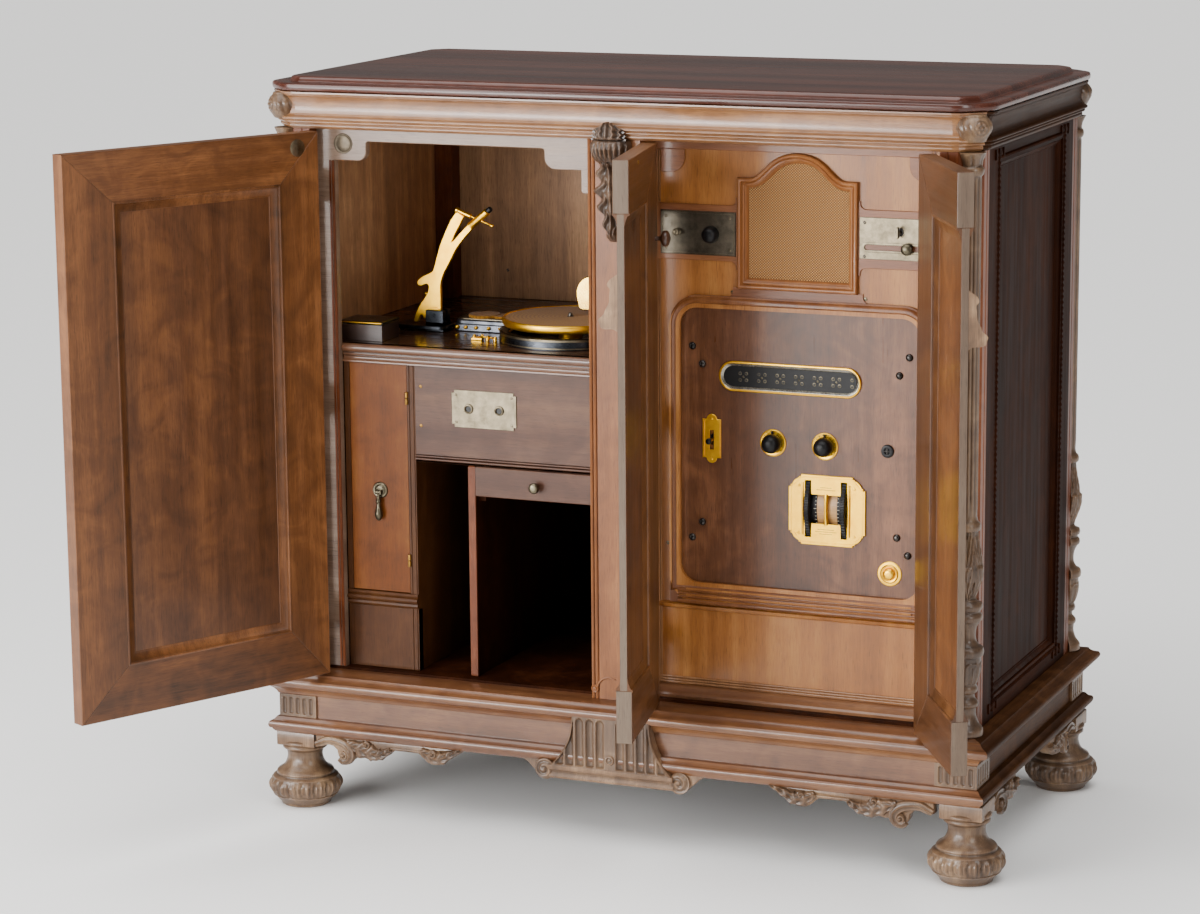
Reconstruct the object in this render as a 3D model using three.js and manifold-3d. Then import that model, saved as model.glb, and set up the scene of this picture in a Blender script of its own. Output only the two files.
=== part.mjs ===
// A gramophone and radio cabinet: a walnut console on bun feet, with a record chamber
// and record slots behind one wide door, and a radio panel behind a pair of narrow doors.
// Millimetres, +Z up, the front faces -Y, and the doors stand open.
import * as THREE from 'three';
import { mergeVertices } from 'three/addons/utils/BufferGeometryUtils.js';
import Module from 'manifold-3d';

const wasm = await Module();
wasm.setup();

// ---------------------------------------------------------------- driving dimensions
const gap = 0.3;                  // clearance between pieces that touch

const bodyHalfWidth = 565;        // outer face of the sides
const bodyHalfDepth = 284;        // front face of the posts
const cornerChamfer = 30;         // leg of the 45 degree chamfer on every corner
const postSize = 57;
const footHeight = 100;           // turned part of a foot
const footRadius = 57;
const footInset = 11;             // foot's axis behind the body's side
const footBlockHalf = 33;         // square block between a foot and the plinth
const plinthBottom = 124;
const plinthTop = 227;
const overallHeight = 1170;
const topThickness = 21;
const corniceHeight = 57.5;
const corniceTop = overallHeight - topThickness;
const corniceBottom = corniceTop - corniceHeight;

const sideThickness = 24;
const backThickness = 14;
const stileHalfWidth = 43;        // the centre stile between the two openings
const partitionThickness = 18;
const deckTop = 752;              // top of the board that carries the turntable
const deckThickness = 20;
const faceFrameSetback = 22;      // how far each face lies behind the front of the posts
const fittingsSetback = 38;
const radioBoardSetback = 54;
const faceFrameY = faceFrameSetback - bodyHalfDepth;
const fittingsFrontY = fittingsSetback - bodyHalfDepth;
const boardFrontY = radioBoardSetback - bodyHalfDepth;
const boardThickness = 14;

const doorThickness = 24;
const doorPanelRecess = 7;
const doorRailWidth = 80;
const pinForward = 8;             // hinge pin ahead of the posts' face
const doorBehindPin = 4;          // closed door's outer face behind the pin
const leftDoorOpen = 116.3;       // degrees
const middleDoorOpen = 78.2;
const rightDoorOpen = 121;

const platterRadius = 108;
const platterTop = 788;
const platterX = -152;
const platterY = -98;

// ---------------------------------------------------------------- finishes
const finish = (color, roughness, metalness = 0) =>
  new THREE.MeshStandardMaterial({ color, roughness, metalness });
const topWalnut = finish(0x5e2c22, 0.3);
const walnut = finish(0x6b452c, 0.45);
const darkWalnut = finish(0x4a3024, 0.45);
const carvedWalnut = finish(0x5d4a3a, 0.6);
const boardWalnut = finish(0x9a6a3e, 0.4);
const figuredWalnut = finish(0x5d4033, 0.35);
const goldPlate = finish(0xe8c25a, 0.3, 1);
const darkPlate = finish(0x3a382f, 0.4, 0.9);
const castMetal = finish(0x6d7075, 0.5, 0.8);
const blackBakelite = finish(0x17161a, 0.3);
const brownFelt = finish(0x4a3226, 0.95);
const grilleFabric = finish(0x8a6235, 0.9);

// ---------------------------------------------------------------- geometry helpers
const group = new THREE.Group();
const cabinet = new THREE.Group();
group.add(cabinet);

const degrees = (angle) => (angle * Math.PI) / 180;

function addPiece(name, geometry, material, parent = cabinet) {
  const piece = new THREE.Mesh(geometry, material);
  piece.name = name;
  parent.add(piece);
}

// Turns a closed geometry into a solid that can be joined and cut, its faces pointing out.
function toSolid(geometry) {
  const bare = geometry.clone();
  bare.deleteAttribute('normal');
  bare.deleteAttribute('uv');
  const merged = mergeVertices(bare, 1e-3);
  const vertProperties = Float32Array.from(merged.attributes.position.array);
  const triVerts = Uint32Array.from(merged.index.array);
  const corner = (i) => new THREE.Vector3().fromArray(vertProperties, 3 * triVerts[i]);
  let volume = 0;
  for (let t = 0; t < triVerts.length; t += 3) {
    volume += corner(t).dot(corner(t + 1).cross(corner(t + 2)));
  }
  if (volume < 0) {
    triVerts.reverse();
  }
  return new wasm.Manifold(new wasm.Mesh({ numProp: 3, vertProperties, triVerts }));
}

function toGeometry(solid) {
  const mesh = solid.getMesh();
  const geometry = new THREE.BufferGeometry();
  geometry.setAttribute('position', new THREE.Float32BufferAttribute(mesh.vertProperties, 3));
  geometry.setIndex(Array.from(mesh.triVerts));
  return geometry;
}

const join = (...pieces) => toGeometry(pieces.map(toSolid).reduce((a, b) => a.add(b)));
const cut = (base, ...tools) => toGeometry(tools.map(toSolid).reduce((a, b) => a.subtract(b), toSolid(base)));
const common = (a, b) => toGeometry(toSolid(a).intersect(toSolid(b)));

// The geometry seen in a mirror across X or Y.
const mirroredX = (geometry) => toGeometry(toSolid(geometry.clone().scale(-1, 1, 1)));
const mirroredY = (geometry) => toGeometry(toSolid(geometry.clone().scale(1, -1, 1)));

// A rectangular block between two corners, given as [low, high] along X, Y and Z.
function block([x0, x1], [y0, y1], [z0, z1]) {
  const box = new THREE.BoxGeometry(Math.abs(x1 - x0), Math.abs(y1 - y0), Math.abs(z1 - z0));
  return box.translate((x0 + x1) / 2, (y0 + y1) / 2, (z0 + z1) / 2);
}

const outline = (points) => new THREE.Shape(points.map(([x, y]) => new THREE.Vector2(x, y)));

const extrude = (shape, depth, curveSegments) =>
  new THREE.ExtrudeGeometry(shape, { depth, bevelEnabled: false, curveSegments });

// A plan outline in X and Y, raised from z0 to z1.
const raise = (shape, [z0, z1], curveSegments = 6) =>
  extrude(shape, z1 - z0, curveSegments).translate(0, 0, z0);

// An outline in X and Z, given depth from y0 (front) to y1 (back).
const facing = (shape, [y0, y1], curveSegments = 6) =>
  extrude(shape, y1 - y0, curveSegments).rotateX(Math.PI / 2).translate(0, y1, 0);

// An outline in Y and Z, run from x0 to x1.
const runAcross = (shape, [x0, x1], curveSegments = 6) =>
  extrude(shape, x1 - x0, curveSegments).rotateX(Math.PI / 2).rotateZ(Math.PI / 2).translate(x0, 0, 0);

// Profiles of [radius, length] turned about a line along Z, towards -Y, or towards +X.
const lathe = (profile, segments) =>
  new THREE.LatheGeometry(profile.map(([r, l]) => new THREE.Vector2(r, l)), segments);
const turned = (profile, segments, x, y) => lathe(profile, segments).rotateX(Math.PI / 2).translate(x, y, 0);
const turnedForward = (profile, segments, x, y, z) =>
  lathe(profile, segments).rotateX(Math.PI).translate(x, y, z);
const turnedAcross = (profile, segments, x, y, z) =>
  lathe(profile, segments).rotateZ(-Math.PI / 2).translate(x, y, z);

const rod = (radius, from, to) => [[0, from], [radius, from], [radius, to], [0, to]];
const ring = (inner, outer, from, to) =>
  [[inner, from], [outer, from], [outer, to], [inner, to], [inner, from]];

function roundedRectangle(x0, x1, z0, z1, radius) {
  const s = new THREE.Shape();
  s.moveTo(x0 + radius, z0);
  s.absarc(x1 - radius, z0 + radius, radius, -Math.PI / 2, 0);
  s.absarc(x1 - radius, z1 - radius, radius, 0, Math.PI / 2);
  s.absarc(x0 + radius, z1 - radius, radius, Math.PI / 2, Math.PI);
  s.absarc(x0 + radius, z0 + radius, radius, Math.PI, Math.PI * 1.5);
  return s;
}

// Skins a stack of rings of equal count: capped at both ends, or closed on itself.
function skin(rings, closed = false) {
  const count = rings[0].length;
  const faces = [];
  const spans = closed ? rings.length : rings.length - 1;
  for (let r = 0; r < spans; r += 1) {
    const next = (r + 1) % rings.length;
    for (let i = 0; i < count; i += 1) {
      const j = (i + 1) % count;
      faces.push(r * count + i, r * count + j, next * count + j);
      faces.push(r * count + i, next * count + j, next * count + i);
    }
  }
  if (!closed) {
    const last = (rings.length - 1) * count;
    for (let i = 1; i < count - 1; i += 1) {
      faces.push(0, i + 1, i);
      faces.push(last, last + i, last + i + 1);
    }
  }
  const geometry = new THREE.BufferGeometry();
  const positions = rings.flat().flatMap((p) => [p.x, p.y, p.z]);
  geometry.setAttribute('position', new THREE.Float32BufferAttribute(positions, 3));
  geometry.setIndex(faces);
  return geometry;
}

// The body's plan, a rectangle with chamfered corners, grown by `out` on every side.
function bodyOutline(out, z) {
  const [hx, hy] = [bodyHalfWidth + out, bodyHalfDepth + out];
  const leg = cornerChamfer + out * (2 - Math.SQRT2);
  const points = [
    [hx, hy - leg], [hx - leg, hy], [leg - hx, hy], [-hx, hy - leg],
    [-hx, leg - hy], [leg - hx, -hy], [hx - leg, -hy], [hx, leg - hy],
  ];
  return points.map(([x, y]) => new THREE.Vector3(x, y, z));
}

const corners = [
  { name: 'front_left', x: -1, y: -1 },
  { name: 'front_right', x: 1, y: -1 },
  { name: 'back_left', x: -1, y: 1 },
  { name: 'back_right', x: 1, y: 1 },
];

const footX = bodyHalfWidth - footInset;
const footY = bodyHalfDepth - 2 * footInset;
const postInnerX = bodyHalfWidth - postSize;
const postInnerY = bodyHalfDepth - postSize;
const sideInnerX = bodyHalfWidth - sideThickness;
const backFaceY = bodyHalfDepth - 8;
const backInnerY = backFaceY - backThickness;
const floorTop = plinthTop + 4;
const caseHeight = [plinthTop + gap, corniceBottom - gap];

// ---------------------------------------------------------------- top and cornice
const lipOut = 20;
const lipTop = overallHeight - 8;
const raisedIn = 14;

function makeTop() {
  const edge = [
    [lipOut - 6, corniceTop + gap], [lipOut - 1, corniceTop + 3], [lipOut, corniceTop + 6],
    [lipOut - 1, lipTop - 2], [lipOut - 4, lipTop], [6 - raisedIn, lipTop],
    [3 - raisedIn, lipTop + 2], [-raisedIn, overallHeight],
  ];
  addPiece('top_board', skin(edge.map(([out, z]) => bodyOutline(out, z))), topWalnut);
}

const corniceNose = 17;
const corniceWall = 28;
const subTopThickness = 12;
const capitalRadius = 22;
const capitalOut = 6;             // capital's axis outside the middle of the chamfer

function makeCornice() {
  const profile = [
    [-corniceWall, corniceBottom], [4, corniceBottom], [8, corniceBottom + 2], [8, corniceBottom + 4],
    [12, corniceBottom + 5], [12, corniceBottom + 8], [16, corniceBottom + 10], [16, corniceBottom + 13],
    [11, corniceBottom + 15], [7, corniceBottom + 23], [7, corniceTop - 24], [9, corniceTop - 14],
    [13, corniceTop - 7], [corniceNose, corniceTop - 4], [corniceNose, corniceTop], [-corniceWall, corniceTop],
  ];
  const frame = skin(profile.map(([out, z]) => bodyOutline(out, z)), true);
  const subTop = raise(outline(bodyOutline(1 - corniceWall, 0).map((p) => [p.x, p.y])),
    [corniceTop - subTopThickness, corniceTop]);
  const capital = [
    [0, corniceBottom + 14], [capitalRadius - 4, corniceBottom + 14], [capitalRadius, corniceBottom + 20],
    [capitalRadius + 5, corniceTop - 24], [capitalRadius, corniceTop - 9], [capitalRadius - 6, corniceTop - 4],
    [0, corniceTop - 4],
  ];
  const back = cornerChamfer / 2 - capitalOut * Math.SQRT1_2;
  const capitals = corners.map((c) =>
    turned(capital, 10, c.x * (bodyHalfWidth - back), c.y * (bodyHalfDepth - back)));
  addPiece('cornice', join(frame, subTop, ...capitals), walnut);
}

// ---------------------------------------------------------------- hinges of the large doors
const doorBottom = plinthTop + 4;
const doorTop = corniceBottom - 2;
const pinY = -bodyHalfDepth - pinForward;
const knuckleRadius = 5;
const knuckleLength = 26;
const knuckleGap = 0.5;
const leafThickness = 2;
const leafWidth = 14;
const hingeHeights = [doorBottom + 90, (doorBottom + doorTop) / 2, doorTop - 90];

// The lower half of each hinge on the pin at pinX: barrel, web and the leaf let onto a post.
function fixedKnuckles(pinX, towardsPost) {
  return join(...hingeHeights.flatMap((z) => {
    const span = [z - knuckleLength, z];
    const leafX = [pinX, pinX + towardsPost * leafWidth];
    const webX = [pinX, pinX + towardsPost * 3];
    return [
      turned(rod(knuckleRadius, ...span), 12, pinX, pinY),
      block(leafX, [-bodyHalfDepth - leafThickness, 1 - bodyHalfDepth], span),
      block(webX, [pinY, 1 - bodyHalfDepth], span),
    ];
  }));
}

// ---------------------------------------------------------------- posts and split columns
const leftPinX = 1 - postInnerX;
const rightPinX = postInnerX - 1;
const middlePinX = stileHalfWidth + 1;
const columnOut = 4;              // column's axis outside the middle of the chamfer
const shaftRadius = 13;
const columnRadius = 26;          // at the base block and the widest bead

const columnProfile = [
  [0, plinthTop + gap], [columnRadius, plinthTop + gap], [columnRadius, 238], [24, 240], [18, 250],
  [15, 263], [18, 271], [18, 280], [13, 284], [13, 291], [17, 294], [17, 301], [16, 305], [21, 324],
  [23, 346], [25, 352], [23, 362], [14, 371], [14, 386], [17, 397], [22, 403], [22, 412], [19, 415],
  [22, 419], [22, 428], [13, 433], [18, 447], [24, 468], [21, 496], [14, 526], [14, 535], [18, 540],
  [18, 547], [shaftRadius, 552], [shaftRadius, corniceBottom - 35.5], [17, corniceBottom - 29.5],
  [17, corniceBottom - 21.5], [14, corniceBottom - 17.5], [20, corniceBottom - gap], [0, corniceBottom - gap],
];

const chamferX = bodyHalfWidth - cornerChamfer / 2;
const chamferY = bodyHalfDepth - cornerChamfer / 2;

// The split column of a corner: the part of the turning that lies outside the chamfer.
function splitColumn(c, clearance) {
  const shift = columnOut * Math.SQRT1_2;
  const whole = turned(columnProfile, 10, c.x * (chamferX + shift), c.y * (chamferY + shift));
  const reach = 4 * columnRadius;
  const outside = block([clearance, reach], [-reach, reach], [0, overallHeight]);
  outside.rotateZ(Math.atan2(c.y, c.x)).translate(c.x * chamferX, c.y * chamferY, 0);
  return common(whole, outside);
}

function makePosts() {
  for (const c of corners) {
    const section = outline([
      [c.x * postInnerX, c.y * postInnerY], [c.x * bodyHalfWidth, c.y * postInnerY],
      [c.x * bodyHalfWidth, c.y * (bodyHalfDepth - cornerChamfer)],
      [c.x * (bodyHalfWidth - cornerChamfer), c.y * bodyHalfDepth],
      [c.x * postInnerX, c.y * bodyHalfDepth],
    ]);
    const shaft = raise(section, caseHeight);
    if (c.y < 0) {
      const pinX = c.x < 0 ? leftPinX : rightPinX;
      addPiece(`post_${c.name}`, join(shaft, fixedKnuckles(pinX, c.x)), walnut);
      addPiece(`column_${c.name}`, splitColumn(c, gap), carvedWalnut);
    } else {
      addPiece(`post_${c.name}`, join(shaft, splitColumn(c, -1)), walnut);
    }
  }
}

// ---------------------------------------------------------------- sides, back and floor
const sideStileWidth = 57;
const sideRecess = 8;
const ventCount = 5;
const ventPitch = 60;

// The sunk panel of a side, with sloping moulded edges, as the tool that cuts it.
function sidePanelTool(c) {
  const half = postInnerY - sideStileWidth;
  const [z0, z1] = [plinthTop + 35, corniceBottom - 25];
  const step = (depth, grow) => [
    [-half - grow, z0 - grow], [half + grow, z0 - grow], [half + grow, z1 + grow], [-half - grow, z1 + grow],
  ].map(([y, z]) => new THREE.Vector3(c * (bodyHalfWidth - depth), y, z));
  return skin([step(-5, 0), step(2, 0), step(2, -3), step(sideRecess, -12)]);
}

function makeSides() {
  const half = postInnerY - gap;
  for (const [name, c] of [['left_side', -1], ['right_side', 1]]) {
    const board = block([c * bodyHalfWidth, c * sideInnerX], [-half, half], caseHeight);
    addPiece(name, cut(board, sidePanelTool(c)), darkWalnut);
  }
}

function makeBack() {
  const reach = postInnerX - gap;
  const board = block([-reach, reach], [backInnerY, backFaceY], caseHeight);
  const vents = [];
  for (let row = 0; row < ventCount; row += 1) {
    const z = 500 + row * ventPitch;
    vents.push(block([160, 400], [backInnerY - 1, backFaceY + 1], [z, z + 14]));
  }
  addPiece('back_panel', cut(board, ...vents), darkWalnut);
}

const plinthWall = 22;            // plinth's inner face inside the body's outline
const floorThickness = 18;

function makeFloor() {
  const [hx, hy] = [bodyHalfWidth - plinthWall - gap, bodyHalfDepth - plinthWall - gap];
  const board = block([-hx, hx], [-hy, hy], [plinthTop - floorThickness, plinthTop]);
  const reach = postInnerX - gap;
  const raised = block([-reach, reach], [faceFrameY, backInnerY - gap], [plinthTop - 5, floorTop]);
  const stileSeat = block([-stileHalfWidth - gap, stileHalfWidth + gap], [faceFrameY - 1, boardFrontY],
    [plinthTop, floorTop + 1]);
  addPiece('bottom_board', cut(join(board, raised), stileSeat), darkWalnut);
}

// ---------------------------------------------------------------- plinth
const plinthNose = 36;            // how far the top moulding stands outside the body
const lowerNose = 28;
const railOut = 10;
const cornerBlockOut = 14;
const cornerBlockWidth = 51;      // from the body's side towards the middle
const centreBlockHalf = 84;
const centreBlockOut = 18;
const centreBlockBottom = 139;

// The moulded section; `face` is how far its flat stands outside the body.
const plinthProfile = (face) => [
  [-plinthWall, plinthBottom], [lowerNose - 10, plinthBottom], [lowerNose - 6, plinthBottom + 4],
  [lowerNose, plinthBottom + 10], [lowerNose, plinthBottom + 17], [lowerNose - 6, plinthBottom + 23],
  [face, plinthBottom + 26], [face, plinthTop - 40], [face + 5, plinthTop - 37],
  [face + 9, plinthTop - 31], [plinthNose - 5, plinthTop - 23], [plinthNose, plinthTop - 20],
  [plinthNose, plinthTop - 15], [plinthNose - 3, plinthTop - 11], [22, plinthTop - 7],
  [18, plinthTop - 4], [8, plinthTop], [-plinthWall, plinthTop],
];

const plinthRing = (face) => skin(plinthProfile(face).map(([out, z]) => {
  const [hx, hy] = [bodyHalfWidth + out, bodyHalfDepth + out];
  return [[hx, hy], [-hx, hy], [-hx, -hy], [hx, -hy]].map(([x, y]) => new THREE.Vector3(x, y, z));
}), true);

// The wedge of plan between two mitre lines that holds the rail of one side.
function mitreWedge(side) {
  const reach = 200;
  const clear = gap * Math.SQRT1_2;
  const apex = bodyHalfWidth - bodyHalfDepth;
  const [farX, farY] = [bodyHalfWidth + reach, bodyHalfDepth + reach];
  const wedges = {
    front: [[clear - apex, 0], [apex - clear, 0], [farX - clear, -farY], [clear - farX, -farY]],
    back: [[clear - apex, 0], [apex - clear, 0], [farX - clear, farY], [clear - farX, farY]],
    left: [[-apex - clear, 0], [-farX - clear, farY], [-farX - clear, -farY]],
    right: [[apex + clear, 0], [farX + clear, farY], [farX + clear, -farY]],
  };
  return raise(outline(wedges[side]), [0, overallHeight]);
}

// A carved bracket of C-scrolls along X from the foot at x = 0, hanging under z = 0.
const scrollLength = 262;
const scrollDrop = 38;

function scrollBracket() {
  const s = new THREE.Shape();
  s.moveTo(0, 1);
  s.lineTo(0, -12);
  s.quadraticCurveTo(14, -24, 28, -8);
  s.quadraticCurveTo(34, -scrollDrop, 52, -scrollDrop);
  s.quadraticCurveTo(76, -scrollDrop, 74, -12);
  s.quadraticCurveTo(94, -32, 116, -25);
  s.quadraticCurveTo(126, -10, 142, -9);
  s.lineTo(186, -11);
  s.quadraticCurveTo(194, -26, 210, -24);
  s.quadraticCurveTo(232, -22, 234, -8);
  s.quadraticCurveTo(250, -2, scrollLength, 1);
  return s;
}

// The moulded rail under the central block, rolled into a volute at each end.
const volutePitch = 109;
const voluteRadius = 16;
const apronDrop = 18;

function centreApron(frontY) {
  const depth = [frontY, frontY + 22];
  const rail = block([-volutePitch, volutePitch], depth, [plinthBottom - apronDrop, plinthBottom + 1]);
  const volutes = [-1, 1].map((side) =>
    turnedForward(rod(voluteRadius, 0, 26), 16, side * volutePitch, depth[1], plinthBottom - 1));
  return [rail, ...volutes];
}

const fluteCount = 3;
const flutePitch = 20;

// Round-headed flutes sunk into the central block at both sides of its boss.
function centreFlutes(frontY) {
  const flutes = [];
  for (const side of [-1, 1]) {
    for (let i = 0; i < fluteCount; i += 1) {
      const x = side * (24 + i * flutePitch);
      const s = roundedRectangle(x - 7, x + 7, centreBlockBottom + 12, plinthTop - 32, 6.9);
      flutes.push(facing(s, [frontY - 1, frontY + 4], 2));
    }
  }
  return flutes;
}

function makePlinth() {
  const scrollFrontY = -bodyHalfDepth - 12;
  const scrollDepth = 18;
  const sideScrollLength = 150;
  const blockInnerX = bodyHalfWidth - cornerBlockWidth;
  const blockInnerY = bodyHalfDepth - cornerBlockWidth;
  const far = bodyHalfWidth + 100;
  for (const side of ['front', 'back', 'left', 'right']) {
    const pieces = [plinthRing(railOut)];
    if (side === 'front') {
      const y = -bodyHalfDepth - centreBlockOut;
      const centre = block([-centreBlockHalf, centreBlockHalf], [y, y + 40], [centreBlockBottom, plinthTop - 15]);
      pieces.push(cut(centre, ...centreFlutes(y)), ...centreApron(y - 4));
      pieces.push(turnedForward([[0, 0], [15, 0], [15, 12], [10, 18], [0, 20]], 14, 0, y + 6, centreBlockBottom + 5));
      const scroll = facing(scrollBracket(), [scrollFrontY, scrollFrontY + scrollDepth], 3);
      scroll.translate(-blockInnerX, 0, plinthBottom);
      pieces.push(scroll, mirroredX(scroll));
    }
    if (side === 'left' || side === 'right') {
      const scroll = facing(scrollBracket(), [0, scrollDepth], 3).scale(sideScrollLength / scrollLength, 1, 1);
      scroll.rotateZ(Math.PI / 2).translate(bodyHalfWidth + 12, footBlockHalf + gap - footY, plinthBottom);
      const pair = [scroll, mirroredY(scroll)];
      pieces.push(...(side === 'right' ? pair : pair.map(mirroredX)));
    }
    for (const c of corners) {
      const keep = block([c.x * blockInnerX, c.x * far], [c.y * blockInnerY, c.y * far], [0, overallHeight]);
      pieces.push(common(plinthRing(cornerBlockOut), keep));
    }
    addPiece(`plinth_${side}`, common(join(...pieces), mitreWedge(side)), walnut);
  }
}

// ---------------------------------------------------------------- feet
const footProfile = [
  [0, 0], [40, 0], [41, 6], [50, 14], [footRadius, 28], [footRadius - 1, 38], [50, 47], [45, 50],
  [45, 56], [36, 62], [29, 72], [28, 84], [31, 90], [35, 94], [34, footHeight], [0, footHeight],
];

function makeFeet() {
  for (const c of corners) {
    const [x, y] = [c.x * footX, c.y * footY];
    const cap = block([x - footBlockHalf, x + footBlockHalf], [y - footBlockHalf, y + footBlockHalf],
      [footHeight - 1, plinthBottom - gap]);
    addPiece(`foot_${c.name}`, join(turned(footProfile, 12, x, y), cap), carvedWalnut);
  }
}

// ---------------------------------------------------------------- centre stile and partition
const carvingLength = 180;
const carvingTop = corniceBottom + 26.5;
const carvingBottom = carvingTop - carvingLength;

function makeCentre() {
  const board = block([-stileHalfWidth, stileHalfWidth], [-bodyHalfDepth, boardFrontY - gap], caseHeight);
  addPiece('centre_stile', join(board, fixedKnuckles(middlePinX, -1)), walnut);

  // Acanthus console: a leaf seen from the front, its roll seen from the side.
  const up = (rise) => carvingBottom + rise;
  const leaf = new THREE.Shape();
  leaf.moveTo(-22, carvingTop - 4);
  leaf.lineTo(-22, up(152));
  leaf.bezierCurveTo(-30, up(122), -14, up(107), -20, up(77));
  leaf.bezierCurveTo(-24, up(52), -8, up(42), -8, up(20));
  leaf.quadraticCurveTo(-6, up(4), 0, up(0));
  leaf.quadraticCurveTo(6, up(4), 8, up(20));
  leaf.bezierCurveTo(8, up(42), 24, up(52), 20, up(77));
  leaf.bezierCurveTo(14, up(107), 30, up(122), 22, up(152));
  leaf.lineTo(22, carvingTop - 4);
  leaf.quadraticCurveTo(0, carvingTop + 4, -22, carvingTop - 4);
  const seat = -bodyHalfDepth - gap;
  const overCornice = seat - corniceNose;
  const roll = new THREE.Shape();
  roll.moveTo(seat, carvingBottom - 2);
  roll.quadraticCurveTo(seat - 12, up(0), seat - 10, up(22));
  roll.bezierCurveTo(seat - 6, up(52), seat - 16, up(72), seat - 12, up(102));
  roll.bezierCurveTo(seat - 14, up(122), seat - 34, up(126), seat - 34, up(144));
  roll.quadraticCurveTo(seat - 34, up(156), overCornice - 10, up(160));
  roll.lineTo(overCornice - 12, carvingTop + 6);
  roll.lineTo(overCornice, carvingTop + 6);
  roll.lineTo(overCornice, corniceBottom - gap);
  roll.lineTo(seat, corniceBottom - gap);
  addPiece('centre_carving', common(facing(leaf, [seat - 60, seat]), runAcross(roll, [-60, 60])), carvedWalnut);

  const half = partitionThickness / 2;
  const wall = block([-half, half], [boardFrontY, backInnerY - gap], [floorTop + gap, corniceBottom - gap]);
  const runner = block([1 - half, -drawerRunnerInner], [boardFrontY + 1, drawerBackY], runnerHeight);
  addPiece('partition', join(wall, runner), darkWalnut);
}

// ---------------------------------------------------------------- large doors
const doorEdgeGap = 1;
const outerRecess = 6;
const bossReach = 22;
const bossZ = [846, 918];

// A door along +X from its hinge pin at the origin, its outer face towards -Y. With no
// meeting stile its sunk panels run out through the free edge.
function makeDoor(width, hingeStile, meetingStile) {
  const [y0, y1] = [doorBehindPin, doorBehindPin + doorThickness];
  const board = block([doorEdgeGap, doorEdgeGap + width], [y0, y1], [doorBottom, doorTop]);
  const left = doorEdgeGap + hingeStile;
  const right = doorEdgeGap + width - meetingStile;
  const step = (y, grow, rail) => [
    [left - grow, doorBottom + rail - grow], [right + grow, doorBottom + rail - grow],
    [right + grow, doorTop - rail + grow], [left - grow, doorTop - rail + grow],
  ].map(([x, z]) => new THREE.Vector3(x, y, z));
  const inside = [[y1 + 1, 0], [y1 - 2, 0], [y1 - 2, -3], [y1 - doorPanelRecess, -14]];
  const outside = [[y0 - 1, 0], [y0 + 2, 0], [y0 + 2, -3], [y0 + outerRecess, -12]];
  const rail = doorRailWidth;
  const tools = [
    skin(inside.map(([y, grow]) => step(y, grow, rail))),
    skin(outside.map(([y, grow]) => step(y, grow, rail / 2))),
    ...hingeHeights.map((z) => turned(
      rod(knuckleRadius + 2 * knuckleGap, z - knuckleLength - knuckleGap, z + knuckleGap), 12, 0, 0)),
  ];
  const knuckles = hingeHeights.map((z) =>
    turned(rod(knuckleRadius, z + knuckleGap, z + knuckleLength), 12, 0, 0));
  return join(cut(board, ...tools), ...knuckles);
}

// Half of the carved boss that the two narrow doors share at their meeting edges.
function meetingBoss(width) {
  const y = doorBehindPin + outerRecess;
  const side = new THREE.Shape();
  side.moveTo(y + 4, bossZ[0]);
  side.lineTo(y - 6, bossZ[0] + 4);
  side.quadraticCurveTo(y - bossReach - 4, bossZ[0], y - bossReach, bossZ[0] + 14);
  side.quadraticCurveTo(y - 12, bossZ[0] + 26, y - 8, bossZ[1] - 18);
  side.lineTo(y - 12, bossZ[1] - 6);
  side.lineTo(y + 4, bossZ[1]);
  return runAcross(side, [doorEdgeGap + width - 34, doorEdgeGap + width]);
}

function hangDoor(name, geometry, pinX, openAngle) {
  const hung = new THREE.Group();
  hung.position.set(pinX, pinY, 0);
  hung.rotation.z = degrees(openAngle);
  cabinet.add(hung);
  addPiece(name, geometry, walnut, hung);
}

function makeDoors() {
  const wide = -stileHalfWidth - leftPinX - 2 * doorEdgeGap;
  const narrow = (rightPinX - middlePinX - 3 * doorEdgeGap) / 2;
  const runsOut = -20;
  const narrowLeaf = join(makeDoor(narrow, doorRailWidth + 8, runsOut), meetingBoss(narrow));
  hangDoor('left_door', makeDoor(wide, doorRailWidth, doorRailWidth + 6), leftPinX, -leftDoorOpen);
  hangDoor('middle_door', narrowLeaf, middlePinX, -middleDoorOpen);
  hangDoor('right_door', mirroredX(narrowLeaf), rightPinX, rightDoorOpen);
}

// ---------------------------------------------------------------- frame of the left opening
const jambInnerX = -477;
const jambRightX = -62;
const headerBottom = corniceBottom - 20.5;
const spandrelDrop = 30;          // the tabs at the header's two ends
const tabWidth = 55;
const tabRadius = 18;
const faceFrameDepth = 14;

function makeFaceFrame() {
  const [x0, x1] = [gap - postInnerX, -stileHalfWidth - gap];
  const foot = headerBottom - 66;
  const s = new THREE.Shape();
  s.moveTo(x0, floorTop + gap);
  s.lineTo(jambInnerX, floorTop + gap);
  s.lineTo(jambInnerX, headerBottom - spandrelDrop);
  s.absarc(jambInnerX + tabWidth - tabRadius, headerBottom - spandrelDrop + tabRadius, tabRadius, -Math.PI / 2, 0);
  s.lineTo(jambInnerX + tabWidth, headerBottom);
  s.lineTo(jambRightX - tabWidth, headerBottom);
  s.absarc(jambRightX - tabWidth + tabRadius, headerBottom - spandrelDrop + tabRadius, tabRadius,
    Math.PI, Math.PI * 1.5);
  s.lineTo(jambRightX, headerBottom - spandrelDrop);
  s.lineTo(jambRightX, foot);
  s.lineTo(x1, foot);
  s.lineTo(x1, corniceBottom - gap);
  s.lineTo(x0, corniceBottom - gap);
  addPiece('left_face_frame', facing(s, [faceFrameY, faceFrameY + faceFrameDepth]), walnut);
}

// ---------------------------------------------------------------- turntable deck
const deckBottom = deckTop - deckThickness;
const deckNoseY = fittingsFrontY - 6;
const deckMouldingBottom = 723;
const bearingRadius = 11;

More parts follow.
